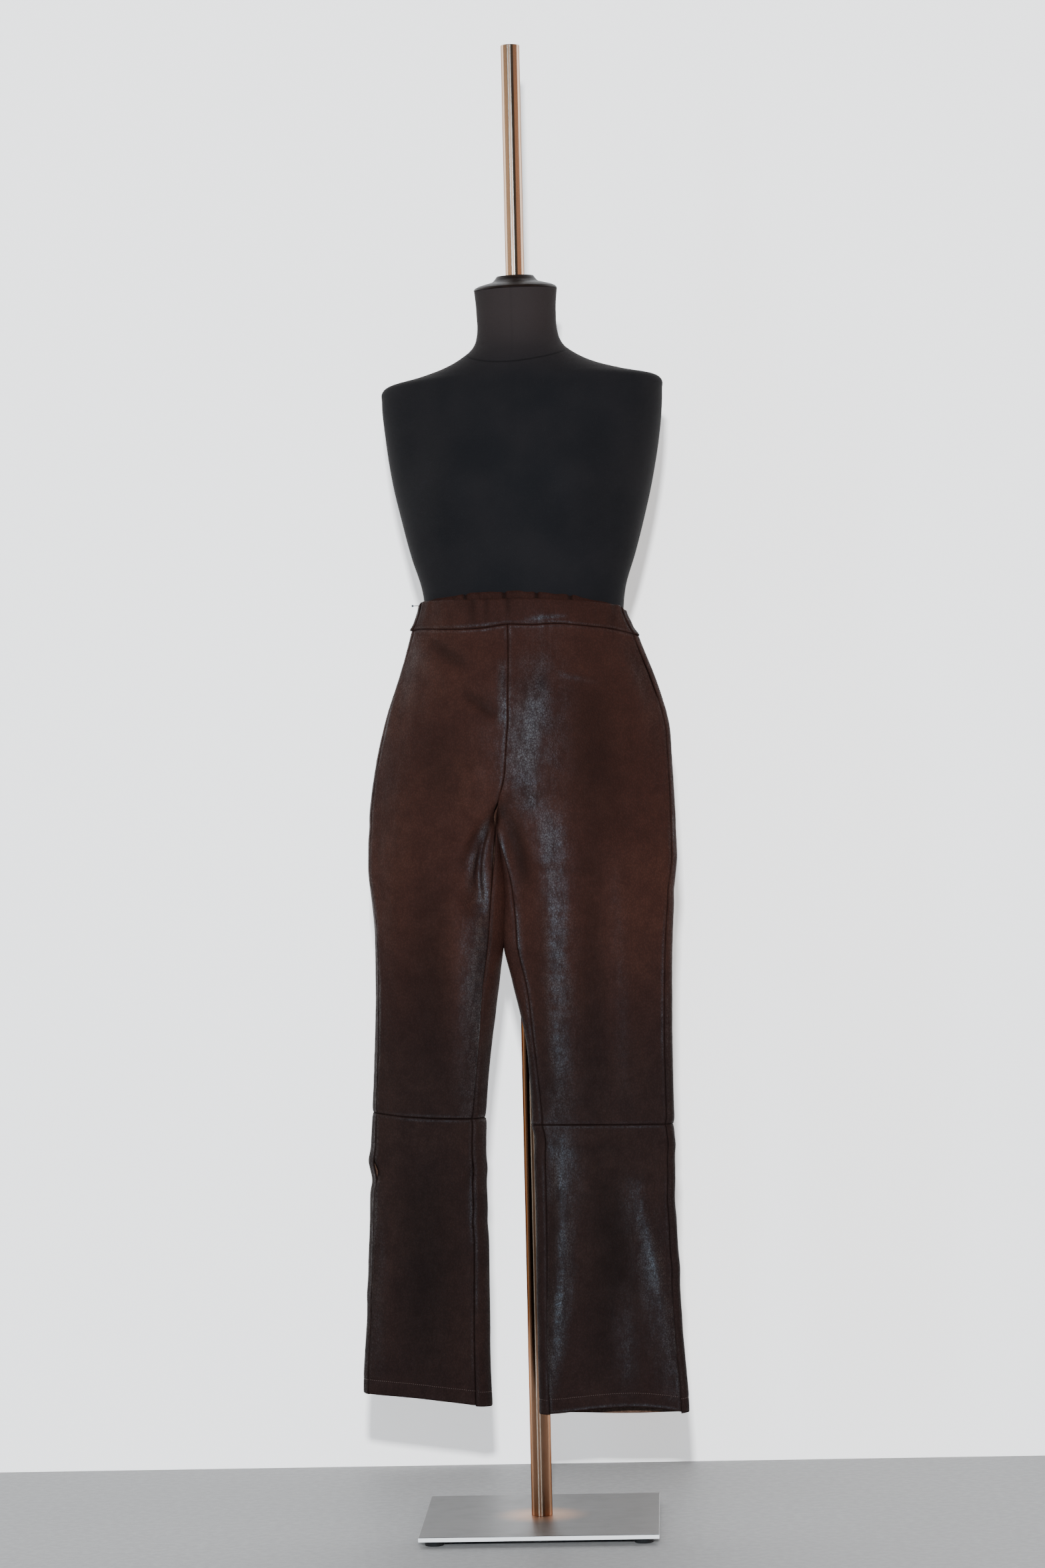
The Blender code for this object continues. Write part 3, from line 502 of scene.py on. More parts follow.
def grid_normals(points, flip):
    normals = np.cross(np.gradient(points, axis=1), np.gradient(points, axis=0))
    normals /= np.maximum(np.linalg.norm(normals, axis=-1, keepdims=True), 1e-12)
    return normals if flip else -normals


def add_mesh(name, points, faces, finish, body=None, **attributes):
    """A smooth mesh that rides on the body, with a number at each point for each attribute."""
    mesh = bpy.data.meshes.new(name)
    mesh.from_pydata(np.reshape(points, (-1, 3)).tolist(), [], [list(face) for face in faces])
    for key, values in attributes.items():
        layer = mesh.attributes.new(key, "FLOAT", "POINT")
        layer.data.foreach_set("value", np.ravel(values).astype(np.float32))
    mesh.shade_smooth()
    mesh.materials.append(finish)
    made = bpy.data.objects.new(name, mesh)
    bpy.context.collection.objects.link(made)
    if body:
        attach(made, body)
    return made


def stand_in(piece, node):
    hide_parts(node)
    return piece


def quads(grid):
    """Faces between the neighbours in a grid of point numbers."""
    corners = (grid[:-1, :-1], grid[:-1, 1:], grid[1:, 1:], grid[1:, :-1])
    return np.stack(corners, axis=-1).reshape(-1, 4)


def ring_faces(rows, sides, closed=True):
    """Faces between rings of points, each joined to the next and, if closed, the last to the first."""
    grid = np.arange(rows * sides).reshape(rows, sides)
    return quads(np.pad(grid, ((0, int(closed)), (0, 1)), mode="wrap"))


def add_shell(name, outer, normals, wall, finish, flip, marks, flesh):
    """A shell that stands on the given skin, with the leather's flesh side inside."""
    points = turned(np.stack([outer, outer - normals * wall]))
    grid = np.arange(flesh.size).reshape(flesh.shape)
    rim = np.concatenate([grid[0], grid[1:, -1], grid[-1, -2::-1], grid[-2:0:-1, 0]])
    following = np.roll(rim, -1)
    edge = np.stack([following, rim, rim + grid.size, following + grid.size], axis=-1)
    faces = np.concatenate([quads(grid), quads(grid + grid.size)[:, ::-1], edge])
    doubled = {key: np.stack([values, values]) for key, values in marks.items()}
    doubled["flesh"] = np.stack([0 * flesh, flesh])
    return add_mesh(name, points, faces if flip else faces[:, ::-1], finish, "form", **doubled)


# ---------------- the trousers
STEP_ACROSS = 0.0032
STEP_DOWN = 0.0034
# Trough depth at which the painted shade in creases is full.
PAINTED_SHADE_DEPTH = 0.0042
SEAM_SHADE = 0.0006
FLESH_FADE = 0.018
HEM_DEPTH = 0.019
HEM_GROOVE = 0.00035
HEM_SHIFT_REACH = 0.11
HemShift = namedtuple("HemShift", "front back skew")
HEM_SHIFTS = {"right": HemShift(0.0078, 0.004, 1), "left": HemShift(0.0099, -0.0029, 1.35)}


def seam_profile(distance, depth=0.0006, allowance=0.0003):
    """A stitched seam: the edge rolls in, and the allowance behind it lifts a soft band."""
    crown = allowance * smoothstep(distance, 0, 0.0022) * smoothstep(distance, 0.01, 0.004)
    return crown - depth * bell(distance, 0.0006)


def pucker(distance, along, seed, height=0.0003, reach=0.012, pitch=0.009):
    wave = ripple(along, pitch, seed) + 0.6 * ripple(along, pitch * 0.45, seed + 1)
    return height * wave * np.exp(-distance / reach)


def burnish_and_sheen_at(part, x, z, seed, from_seam, along, seam_seed):
    """How burnished the leather is, which also sets where its colour is painted with a sheen tint: in
    strips broken up by slow noise, and on the seams' crowns.
    """
    strips = crease_lift(BURNISH_AND_SHEEN[part], x, z) * (0.85 + 0.3 * noise(x, z, 0.014, 0.04, seed + 15))
    crown = 0.28 + 0.4 * ripple(along, 0.06, seam_seed + 25)
    return np.clip(np.clip(strips, 0, 1) + crown * bell(from_seam, 0.0013, 0.003), 0, 1)


def detail(part, x, z, from_seam, seed):
    """Lift of the cloth off its section: its creases, and slack away from the side seams."""
    slack = 0.0011 * noise(x, z, 0.055, 0.16, seed) + 0.0006 * noise(x, z, 0.026, 0.07, seed + 3)
    slack += 0.00022 * noise(x, z, 0.01, 0.022, seed + 5)
    return crease_lift(CREASES[part], x, z) + slack * smoothstep(from_seam, 0, 0.02)


def seed_of(side, part, tier):
    """The number that makes a panel's noise its own."""
    return 1 + (tier == "lower") + 4 * (side == "left") + 8 * (part == "back")


def hem_waves(x, up, seed):
    return 0.0005 * noise(x, up, 0.034, 0.05, seed + 9) * smoothstep(up, 0.035, 0.005)


def hem_shift(side, part, heights, x, up):
    """How far the cloth near a hem is raised, most between the side and the inner edge."""
    row, _ = sections(side, heights)
    share = np.clip((x - row.inner) / (row.outer - row.inner), 0, 1)
    shift = HEM_SHIFTS[side]
    size = getattr(shift, part)
    return size * np.sin(math.pi * share**shift.skew) * smoothstep(up, HEM_SHIFT_REACH, 0)


def laid_out(side, part, heights):
    """A panel's skin and its normals, and the distances from both of its edges."""
    turns, from_start, from_end = columns_of(side, part, heights, STEP_ACROSS)
    base = surface(side, heights, turns)
    return base, grid_normals(base, side == "right"), from_start, from_end


def add_panel(side, part, tier, finish):
    name = f"{part}_{tier}_{side}"
    upper = tier == "upper"
    seed = seed_of(side, part, tier)
    top = (WAIST_SEAM if upper else KNEE[side]) - SEAM_SLIT
    bottom = KNEE[side] + SEAM_SLIT if upper else HEM[side]
    heights = bottom + graded(top - bottom, STEP_DOWN)[0, ::-1]
    base, normals, from_start, from_end = laid_out(side, part, heights)
    x = base[..., 0]
    z = base[..., 2]
    down = (top - heights)[:, None] + 0 * x
    up = (heights - bottom)[:, None] + 0 * x
    beside = np.minimum(from_start, from_end)
    lift = detail(part, x, z, beside, seed)
    # The seam allowances lift the cloth beside the inseam, and not beside the side seam.
    crowns = (0.0004, 0) if part == "front" else (0, 0.0004)
    seams = [(from_start, z, 0.0006, crowns[0]), (from_end, z, 0.0006, crowns[1]),
             (down, x, 0.0007, 0.0003)]
    wall = LEATHER + 0 * x
    if upper:
        seams.append((up, x, 0.0007, 0.0003))
        shift = seam_line(part, x) * smoothstep(down, 0.05, 0)
    else:
        wall += 0.0009 * smoothstep(up, HEM_DEPTH + 0.001, HEM_DEPTH - 0.002)
        lift -= 0.0006 * bell(up, 0.0009) + HEM_GROOVE * bell(up, 0.0014, HEM_DEPTH)
        lift += hem_waves(x, up, seed)
        shift = hem_shift(side, part, heights, x, up)
    for k, (distance, along, depth, allowance) in enumerate(seams):
        lift += seam_profile(distance, depth, allowance) + pucker(distance, along, seed + 20 * k)
    outer = base + normals * (LEATHER + lift[..., None])
    outer[..., 2] += shift
    nearest = np.minimum(beside, np.minimum(down, up))
    # Painted shade: the cloth is darkened in the creases' troughs, as shade falls in them.
    painted_shade = np.clip(-crease_lift(CREASES[part], x, z) / PAINTED_SHADE_DEPTH, 0, 1)
    marks = {"seam": np.exp(-nearest / SEAM_SHADE), "painted_shade": painted_shade,
             "burnish_and_sheen": burnish_and_sheen_at(part, x, z, seed, nearest, z, seed)}
    piece = add_shell(name + "_leather", outer, normals, wall[..., None], finish, side == "right",
                      marks, smoothstep(beside, 0, FLESH_FADE))
    return stand_in(piece, name)


# ---------------- the waistband
# How much the waist seam is above its smooth line, at places from side to side.
SeamPoint = namedtuple("SeamPoint", "x rise")
SEAM_LINE_X, SEAM_LINE_RISE = zip(*in_metres(SeamPoint, [
    (-138, 3.6), (-126, 3.6), (-100, 0.5), (-70, -2), (-39, -2), (-20, 0), (-7, 2),
    (28, 0.8), (45, 2.8), (61, 4.5), (93, 4.6), (126, 6), (141, 5.4), (156, 4)]))
SEAM_LINE_FADE = 0.03
BAND_STEPS = np.concatenate([
    (0, 0.0004, 0.0009, 0.0016, 0.0026, 0.004), np.linspace(0.006, 0.029, 12),
    (0.0308, 0.0323, 0.0334, 0.0342, 0.0347, 0.0351)])
BAND_STEP_ACROSS = 0.0016
BAND_TIP = 0.003
CORNER_DROP = 0.005
CORNER_REACH = 0.0065
GATHER_SLITS = (-0.063, -0.011, 0.031, 0.073)
SLIT_HALF = 0.0024
SLIT_DEPTH = 0.0024
# Soft folds that run down the front band: place, half width and depth.
BAND_FOLDS = ((-0.052, 0.005, 0.0022), (-0.033, 0.0035, 0.0018), (-0.004, 0.004, 0.0008),
              (0.128, 0.004, 0.001))


def seam_line(part, x):
    before, rise, after = (
        np.interp(x + step, SEAM_LINE_X, SEAM_LINE_RISE) for step in (-0.006, 0, 0.006))
    if part == "front":
        return (2 * rise + before + after) / 4
    near = np.minimum(x - SEAM_LINE_X[0], SEAM_LINE_X[-1] - x)
    return rise * smoothstep(near, SEAM_LINE_FADE, 0)


def band_grid(part, heights):
    """The band's skin from side to side, and the distance from its nearer end."""
    grids = []
    for side in SIDES:
        turns, from_start, from_end = columns_of(side, part, heights, BAND_STEP_ACROSS)
        ends = from_end if part == "front" else from_start
        grids.append(np.dstack([surface(side, heights, turns), ends]))
    right, left = grids
    if part == "front":
        right = right[:, ::-1]
    else:
        left = left[:, ::-1]
    whole = np.concatenate([right, left[:, 1:]], axis=1)
    return whole[..., :3], whole[..., 3]


def corner_share(x, heights):
    """From 0 to 1 over the last stretch before the side edges."""
    right, left = (sections(side, heights)[0].outer for side in SIDES)
    return np.clip(1 - np.minimum(x - right, left - x) / CORNER_REACH, 0, 1)


def add_band(part, finish):
    heights = WAIST_SEAM + SEAM_SLIT + BAND_STEPS[::-1]
    base, ends = band_grid(part, heights)
    normals = grid_normals(base, part == "back")
    x = base[..., 0]
    up = BAND_STEPS[::-1, None] + 0 * x
    top = BAND_STEPS[-1] - up
    share = up / BAND_STEPS[-1]
    lift = 0.0007 * np.sin(math.pi * share) ** 0.6
    lift -= 0.0009 * bell(up, 0.0011) + 0.0008 * bell(top, 0.001) + 0.0009 * bell(ends, 0.0011)
    lift += pucker(up, x, 70, 0.0004, 0.01, 0.008)
    rise = seam_line(part, x) * (1 - share) ** 2
    if part == "front":
        lift += 0.0011 * bell(ends, 0.006, 0.016) * share
        lift += 0.0007 * noise(x, up, 0.03, 0.06, 3) + 0.00035 * noise(x, up, 0.011, 0.04, 5)
        lift += 0.00054 * bell(x, 0.006, 0.044) * (1 - share)
        # The front band is darkened all over; its folds are darkened more, as painted shade.
        painted_shade = 0.3
        for place, half, deep in BAND_FOLDS:
            fold = bell(x, half, place)
            lift -= deep * fold * share
            painted_shade = painted_shade + 0.6 * fold * (0.4 + 0.6 * share)
    else:
        slits = sum(bell(x, SLIT_HALF, slit) for slit in GATHER_SLITS)
        lift += 0.0009 * (ripple(x, 0.0085, 11) + 0.5 * ripple(x, 0.004, 12))
        lift -= SLIT_DEPTH * slits * smoothstep(share * 1.4)
        rise += 0.0014 * ripple(x, 0.012, 15) * smoothstep(share, 0.5)
        rise -= SLIT_DEPTH * slits * smoothstep(share)
        # Painted shade: the back band's inside is darkened, most in the gather slits and in a line just
        # above the front band's top edge, where that edge shades it.
        painted_shade = 0.55 + 1.2 * slits + 0.8 * bell(top, 0.0012, 0.0085)
    outer = base + normals * (BAND_WALL + np.clip(lift, -0.0026, 0.0022)[..., None])
    corner = corner_share(x, heights)
    outer[..., 0] += BAND_TIP * corner * np.clip(1 - share / 0.35, 0, 1) ** 2 * np.sign(x)
    outer[..., 2] += rise - CORNER_DROP * corner**2 * share**2
    edge = np.minimum(ends, up)
    marks = {"seam": np.exp(-edge / SEAM_SHADE), "painted_shade": np.clip(painted_shade, 0, 1.4),
             "burnish_and_sheen": burnish_and_sheen_at(part, x, base[..., 2], 31, edge, x, 32)}
    piece = add_shell(f"waistband_{part}_leather", outer, normals, BAND_WALL, finish,
                      part == "back", marks, 0 * x)
    return stand_in(piece, f"waistband_{part}")


# ---------------- stitches
THREAD_RADIUS = 0.00038
STITCH_PITCH = 0.0028
STITCH_FILL = 0.52
STITCH_START = 0.0003
STITCH_SIDES = 6
STITCH_ARCH = THREAD_RADIUS * np.array([[-0.6], [0.25], [0.5], [0.25], [-0.6]])
STITCH_SIZE = THREAD_RADIUS * np.array([[0.45], [0.95], [1], [0.95], [0.45]])


def add_stitches(name, paths, finish):
    """Threads lying along paths of (points, normals), each a short capsule."""
    rows = len(STITCH_SIZE)
    angle = 2 * math.pi * np.arange(STITCH_SIDES) / STITCH_SIDES
    numbers = np.arange(rows * STITCH_SIDES)
    capsule = [*ring_faces(rows, STITCH_SIDES, False), numbers[:STITCH_SIDES][::-1],
               numbers[-STITCH_SIDES:]]
    points = []
    for curves in paths:
        steps = np.linalg.norm(np.diff(curves[0], axis=0), axis=1)
        lengths = np.concatenate([[0], np.cumsum(steps)])
        for k in range(int(lengths[-1] / STITCH_PITCH)):
            at = np.linspace(k, k + STITCH_FILL, rows) * STITCH_PITCH + STITCH_START
            centre, normal = (
                np.stack([np.interp(at, lengths, axis) for axis in curve.T], -1) for curve in curves)
            normal /= np.linalg.norm(normal, axis=1, keepdims=True)
            tangent = centre[-1] - centre[0]
            across = np.cross(tangent / np.linalg.norm(tangent), normal)
            out = (STITCH_ARCH + STITCH_SIZE * np.sin(angle))[..., None]
            along = (STITCH_SIZE * np.cos(angle))[..., None]
            points.append(centre[:, None] + normal[:, None] * out + across[:, None] * along)
    faces = [face + k * len(numbers) for k in range(len(points)) for face in capsule]
    return add_mesh(name, points, faces, finish, "form")


def hem_paths(side):
    """The line of stitches on the front and the back of a hem: its points and normals."""
    heights = HEM[side] + HEM_DEPTH + np.array([0.002, 0, -0.002])
    paths = []
    for part in PARTS:
        base, normals, from_start, from_end = laid_out(side, part, heights)
        seed = seed_of(side, part, "lower")
        x = base[..., 0]
        up = (heights - HEM[side])[:, None] + 0 * x
        lift = detail(part, x, base[..., 2], np.minimum(from_start, from_end), seed)
        lift += hem_waves(x, up, seed) + seam_profile(from_start) + seam_profile(from_end)
        outer = base + normals * (LEATHER - HEM_GROOVE + lift[..., None])
        outer[..., 2] += hem_shift(side, part, heights, x, up)
        paths.append((turned(outer[1]), turned(normals[1])))
    return paths


# ---------------- the dress form and turned parts
NECK_SEAM = 1.53
NECK_SEAM_RISE = 0.046
NECK_SEAM_LOW = -0.008
MIDDLE_SEAM = 0.001
TORSO_SIDES = 240
CAP_SIDES = 128
TUBE_SIDES = 96
SHARP_FROM = math.radians(32)
# The cap's profile from its underside up: radius and height.
CAP = [
    (RUNNING, 0), (CAP_RADIUS, 0), (CAP_RADIUS, 0.0008), (0.0537, 0.0031), (0.0485, 0.0057),
    (0.043, 0.0072), (0.037, 0.0088), (0.031, 0.0103), (0.028, 0.0128), (0.0258, 0.0158),
    (0.0242, 0.0182), (RUNNING, 0.0182)]


def bust(x, z):
    up = bell(z, BUST_RADII[1], BUST_APEX[1])
    return BUST_RISE * up * sum(bell(x, BUST_RADII[0], side * BUST_APEX[0]) for side in (-1, 1))


def tilted(x, y, z):
    """Points of the form, raised towards its left at the shoulders and to the back at the neck."""
    across = smoothstep(z, SHOULDER_TILT_FROM, SHOULDER_TILT_FULL)
    deep = smoothstep(z, NECK_TILT_FROM, NECK_TOP)
    return np.stack([x, y, z + SHOULDER_TILT * across * x + NECK_TOP_TILT * deep * y], axis=-1)


def rings(profile, sides):
    """x, y and z of a ring round the pole's axis for each (radius, height) of the profile."""
    angle = 2 * math.pi * np.arange(sides) / sides
    radius, height = np.array(profile).T[..., None]
    return radius * np.cos(angle), radius * np.sin(angle), height + 0 * angle


def add_torso(finish):
    heights = np.concatenate([
        np.linspace(NECK_TOP, 1.59, 16)[:-1],
        np.linspace(1.59, 1.5, 110)[:-1],
        np.linspace(1.5, 0.905, 200)[:-1],
        np.linspace(0.905, TORSO_BOTTOM, 6),
    ])
    row = read_table(TORSO, heights)
    angle = 2 * math.pi * np.arange(TORSO_SIDES) / TORSO_SIDES
    across = np.cos(angle)
    deep = np.sin(angle)
    x = row.width * np.copysign(np.abs(across) ** (2 / row.power), across)
    reach = np.where(deep < 0, row.front + row.side, row.back - row.side)
    y = row.side + reach * np.copysign(np.abs(deep) ** (2 / row.power), deep)
    y -= np.where(deep < 0, bust(x, row.z) * np.abs(deep), 0)
    x += TORSO_SHIFT * smoothstep(row.z, NECK_TOP, SHOULDER_TILT_FULL)
    points = tilted(x, y, row.z)
    z = points[..., 2]
    normals = grid_normals(np.pad(points, ((0, 0), (1, 1), (0, 0)), mode="wrap"), False)[:, 1:-1]
    neck_line = NECK_SEAM + NECK_SEAM_RISE * (1 - np.cos(np.arctan2(x - NECK_SEAM_LOW, -y))) / 2
    groove = np.where((y < 0) | (z < 1.56), bell(x, 0.0011, MIDDLE_SEAM), 0)
    groove *= np.where(z > neck_line, 0.15, 0.5)
    groove = np.maximum(groove, 0.8 * bell(z, 0.0009, neck_line))
    points += normals * (0.0004 * noise(x, z, 0.06, 0.05, 21) - 0.0007 * groove)[..., None]
    bore = tilted(*rings([(RUNNING, TORSO_BOTTOM), (RUNNING, NECK_TOP)], TORSO_SIDES))
    points = np.concatenate([points, bore])
    faces = ring_faces(*points.shape[:2])[:, ::-1]
    seam = np.pad(groove, ((0, 2), (0, 0)))
    torso = add_mesh("torso_jersey", turned(points), faces, finish, "form", seam=seam)
    return stand_in(torso, "torso")


def add_turned(name, points, finish, body, node, closed=True):
    """A turned piece from its rings of points; one that isn't closed has flat ends."""
    rows, sides = points.shape[:2]
    faces = ring_faces(rows, sides, closed).tolist()
    if not closed:
        numbers = list(range(rows * sides))
        faces += [numbers[:sides][::-1], numbers[-sides:]]
    made = add_mesh(name, points, faces, finish, body)
    made.data.set_sharp_from_angle(angle=SHARP_FROM)
    return stand_in(made, node)


def add_tube(node, profile, finish, body, closed=True):
    points = np.stack(rings(profile, TUBE_SIDES), axis=-1)
    add_turned(node + "_metal", points, finish, body, node, closed)


def rounded(profile, radius, steps=4):
    """The same profile with its corners rounded."""
    points = [Vector(p) for p in profile]
    out = []
    for before, corner, after in zip(points[-1:] + points, points, points[1:] + points[:1]):
        arms = (before - corner, after - corner)
        r = min(radius, *(arm.length * 0.45 for arm in arms))
        if r < 1e-5 or abs(arms[0].angle(arms[1]) - math.pi) < 0.1:
            out.append(corner)
            continue
        a, b = (corner + arm.normalized() * r for arm in arms)
        for t in np.linspace(0, 1, steps + 1).tolist():
            out.append(a * (1 - t) ** 2 + corner * 2 * t * (1 - t) + b * t**2)
    return [tuple(p) for p in out]


# ---------------- materials
class Nodes:
    """Short ways to add and link the shader nodes of one material."""

    def __init__(self, name):
        self.material = bpy.data.materials.new(name)
        self.material.use_nodes = True
        self.tree = self.material.node_tree
        self.shader = self.tree.nodes["Principled BSDF"]
        self.place = self.add("TexCoord", "Object")

    def give(self, node, inputs):
        """Links or sets the node's inputs, and leaves out what is None."""
        for key, given in inputs.items():
            if hasattr(given, "is_output"):
                self.tree.links.new(given, node.inputs[key])
            elif given is not None:
                opaque = node.inputs[key].type == "RGBA"
                node.inputs[key].default_value = (*given, 1) if opaque else given

    def add(self, kind, output=0, inputs=None, **settings):
        """One output of a new node with these inputs and settings."""
        node = self.tree.nodes.new("ShaderNode" + kind)
        for key, given in settings.items():
            setattr(node, key, given)
        self.give(node, inputs or {})
        return node.outputs[output]

    def mapped(self, *scale):
        return self.add("Mapping", "Vector", {"Vector": self.place, "Scale": scale})

    def noise(self, scale, detail, roughness, vector=None, distortion=0):
        return self.add("TexNoise", "Fac", {
            "Scale": scale, "Detail": detail, "Roughness": roughness, "Distortion": distortion,
            "Vector": vector or self.place})

    def voronoi(self, scale, vector, feature="F1", smooth=None):
        inputs = {"Scale": scale, "Smoothness": smooth, "Vector": vector}
        return self.add("TexVoronoi", "Distance", inputs, feature=feature)

    def ramp(self, given, low, high, out_low=0, out_high=1):
        return self.add("MapRange", "Result", {
            "Value": given, "From Min": low, "From Max": high, "To Min": out_low,
            "To Max": out_high}, interpolation_type="SMOOTHSTEP")

    def math(self, operation, first, *others):
        """The first taken with each of the others in turn."""
        for other in others:
            first = self.add("Math", 0, {0: first, 1: other}, operation=operation)
        return first

    def product(self, *factors):
        return self.math("MULTIPLY", *factors)

    def mix(self, factor, a, b, mode="MIX"):
        inputs = {"Factor": factor, 6: a, 7: b}
        return self.add("Mix", 2, inputs, data_type="RGBA", blend_type=mode)

    def warp(self, vector, scale, amount):
        """The vector pushed about by noise."""
        push = self.add("TexNoise", "Color", {"Scale": scale, "Detail": 1, "Vector": vector})
        inputs = {0: push, 1: (amount, amount, amount), 2: vector}
        return self.add("VectorMath", 0, inputs, operation="MULTIPLY_ADD")

    def height(self):
        return self.add("SeparateXYZ", "Z", {0: self.place})

    def attribute(self, name):
        return self.add("Attribute", "Fac", attribute_name=name)

    def bump(self, height, distance, strength=1, under=None):
        return self.add("Bump", "Normal", {
            "Strength": strength, "Distance": distance, "Height": height, "Normal": under})

    def finish(self, colour, roughness, normal=None, **others):
        """The material with its shader's inputs."""
        self.give(self.shader, {"Base Color": colour, "Roughness": roughness, "Normal": normal})
        self.give(self.shader, {key.replace("_", " "): given for key, given in others.items()})
        return self.material


def grey(level):
    return (level, level, level)


# Painted shade: the leather is darkened down the legs, where less light falls on them: the heights
# where that is full and where it starts, its shade.
LOWER_SHADE_FULL = 0.56
LOWER_SHADE_FROM = 0.85
LOWER_SHADE = (0.54, 0.74, 0.86)


def leather_material():
    n = Nodes("dark_brown_leather_grain")
    stretched = n.mapped(1, 1, 0.66)
    warped = n.warp(stretched, 150, 0.0018)
    pebble = n.ramp(n.voronoi(520, warped, "SMOOTH_F1", 0.25), 0.06, 0.7, 1, 0)
    fine = n.ramp(n.voronoi(1100, warped), 0.05, 0.8, 1, 0)
    lines = n.noise(150, 4, 0.62, n.mapped(1, 1, 0.36), 0.6)
    lines = n.ramp(n.math("ABSOLUTE", n.math("SUBTRACT", lines, 0.5), 0), 0, 0.045)
    patches = n.noise(7, 3, 0.55)
    fine_patches = n.noise(46, 3, 0.6)
    burnish_and_sheen = n.attribute("burnish_and_sheen")
    flesh = n.attribute("flesh")
    warm = n.mix(n.ramp(patches, 0.35, 0.68), (0.023, 0.009, 0.0068), (0.03, 0.0118, 0.0084))
    colour = n.mix(n.ramp(fine_patches, 0.3, 0.7, 0, 0.45), warm, (0.015, 0.0062, 0.005))
    # Painted shade: the leather is darkened in creases, folds and gather slits, and just above the
    # front band's top edge.
    colour = n.mix(n.product(n.attribute("painted_shade"), 0.62), colour, (0.005, 0.0028, 0.0023))
    colour = n.mix(n.ramp(pebble, 0.1, 0.7, 0.3, 0), colour, (0.0062, 0.0034, 0.0027))
    # Painted shade: darker down the legs.
    low = n.ramp(n.height(), LOWER_SHADE_FULL, LOWER_SHADE_FROM, 1, 0)
    colour = n.mix(low, colour, LOWER_SHADE, "MULTIPLY")
    # Painted sheen: where burnished, the colour is painted darker and bluer, the tint of the sheen on
    # it.
    colour = n.mix(n.product(burnish_and_sheen, 0.75), colour, (0.0076, 0.0058, 0.0064))
    colour = n.mix(n.product(n.attribute("seam"), 0.7), colour, (0.0024, 0.0016, 0.0014))
    fibres = n.ramp(n.noise(380, 4, 0.7), 0.3, 0.7)
    colour = n.mix(flesh, colour, n.mix(fibres, (0.042, 0.024, 0.017), (0.085, 0.05, 0.036)))
    rough = n.math("ADD", n.ramp(fine_patches, 0.25, 0.75, 0.5, 0.6), n.ramp(pebble, 0, 0.8, 0.1, 0))
    height = n.math("ADD", n.product(pebble, 0.6), n.product(fine, 0.22), n.product(lines, 0.42))
    slack = n.noise(70, 3, 0.55, stretched)
    normal = n.bump(height, 0.00036, 1, n.bump(slack, 0.0007, 0.5))
    cells = n.voronoi(400, n.warp(stretched, 110, 0.0026), "DISTANCE_TO_EDGE")
    streaks = n.noise(95, 4, 0.7, n.mapped(1, 1, 0.42))
    worn = n.product(
        burnish_and_sheen, n.ramp(streaks, 0.36, 0.6, 0.3, 1), n.ramp(cells, 0.02, 0.14, 0.25, 0.9),
        n.ramp(pebble, 0.15, 0.6, 0.65, 0.95), n.ramp(lines, 0.1, 0.7, 0.45, 0.95),
        n.math("SUBTRACT", 1, flesh))
    return n.finish(
        colour, rough, normal, Specular_IOR_Level=0.07, Coat_Weight=worn, Coat_Roughness=0.37,
        Coat_IOR=2.3, Coat_Normal=n.bump(height, 0.00012, 1, n.bump(slack, 0.0005, 0.4)))


def jersey_material():
    n = Nodes("black_jersey_knit")
    knit = n.voronoi(1500, n.mapped(1, 1, 0.55))
    fuzz = n.noise(900, 3, 0.7)
    patches = n.ramp(n.noise(12, 3, 0.5), 0.3, 0.7)
    colour = n.mix(patches, (0.0056, 0.0056, 0.0064), (0.0074, 0.007, 0.0078))
    # Painted sheen: the jersey is painted lighter and warmer towards the neck.
    colour = n.mix(n.ramp(n.height(), 1.5, 1.6), colour, (0.0175, 0.0138, 0.0136))
    colour = n.mix(n.product(n.ramp(fuzz, 0.55, 0.8), 0.35), colour, (0.015, 0.0145, 0.0155))
    colour = n.mix(n.product(n.attribute("seam"), 0.75), colour, grey(0.002))
    normal = n.bump(n.math("ADD", n.product(knit, 0.7), n.product(fuzz, 0.4)), 0.0002, 0.8)
    return n.finish(colour, n.ramp(fuzz, 0.2, 0.8, 0.78, 0.92), normal, Specular_IOR_Level=0.08,
                    Sheen_Weight=0.01, Sheen_Roughness=0.4, Sheen_Tint=(0.85, 0.72, 0.66))


def lacquer_material():
    n = Nodes("dark_lacquered_wood")
    rings_of_wood = n.ramp(n.noise(60, 4, 0.6, n.mapped(1, 1, 6)), 0.35, 0.65)
    colour = n.mix(rings_of_wood, (0.005, 0.003, 0.0024), (0.01, 0.0055, 0.004))
    scuffs = n.noise(420, 3, 0.7)
    return n.finish(colour, n.ramp(scuffs, 0.45, 0.75, 0.46, 0.58), n.bump(scuffs, 4e-5, 0.5),
                    Specular_IOR_Level=0.1, Coat_Weight=0.08, Coat_Roughness=0.35)


def brushed(name, dark, light, rough_low, rough_high, stretch):
    """Brushed metal's nodes, colour, roughness and lines: fine along one axis, faintly smudged."""
    n = Nodes(name)
    lines = n.noise(1, 4, 0.65, n.mapped(*stretch))
    shine = n.ramp(lines, 0.3, 0.7, rough_low, rough_high)
    smudge = n.ramp(n.noise(26, 4, 0.6), 0.4, 0.75, 0, 0.04)
    return n, n.mix(n.ramp(lines, 0.3, 0.7), dark, light), n.math("ADD", shine, smudge), lines


# The height of the base plate's top face: its sides, just below, are bright cut metal.
PLATE_TOP = 0.013


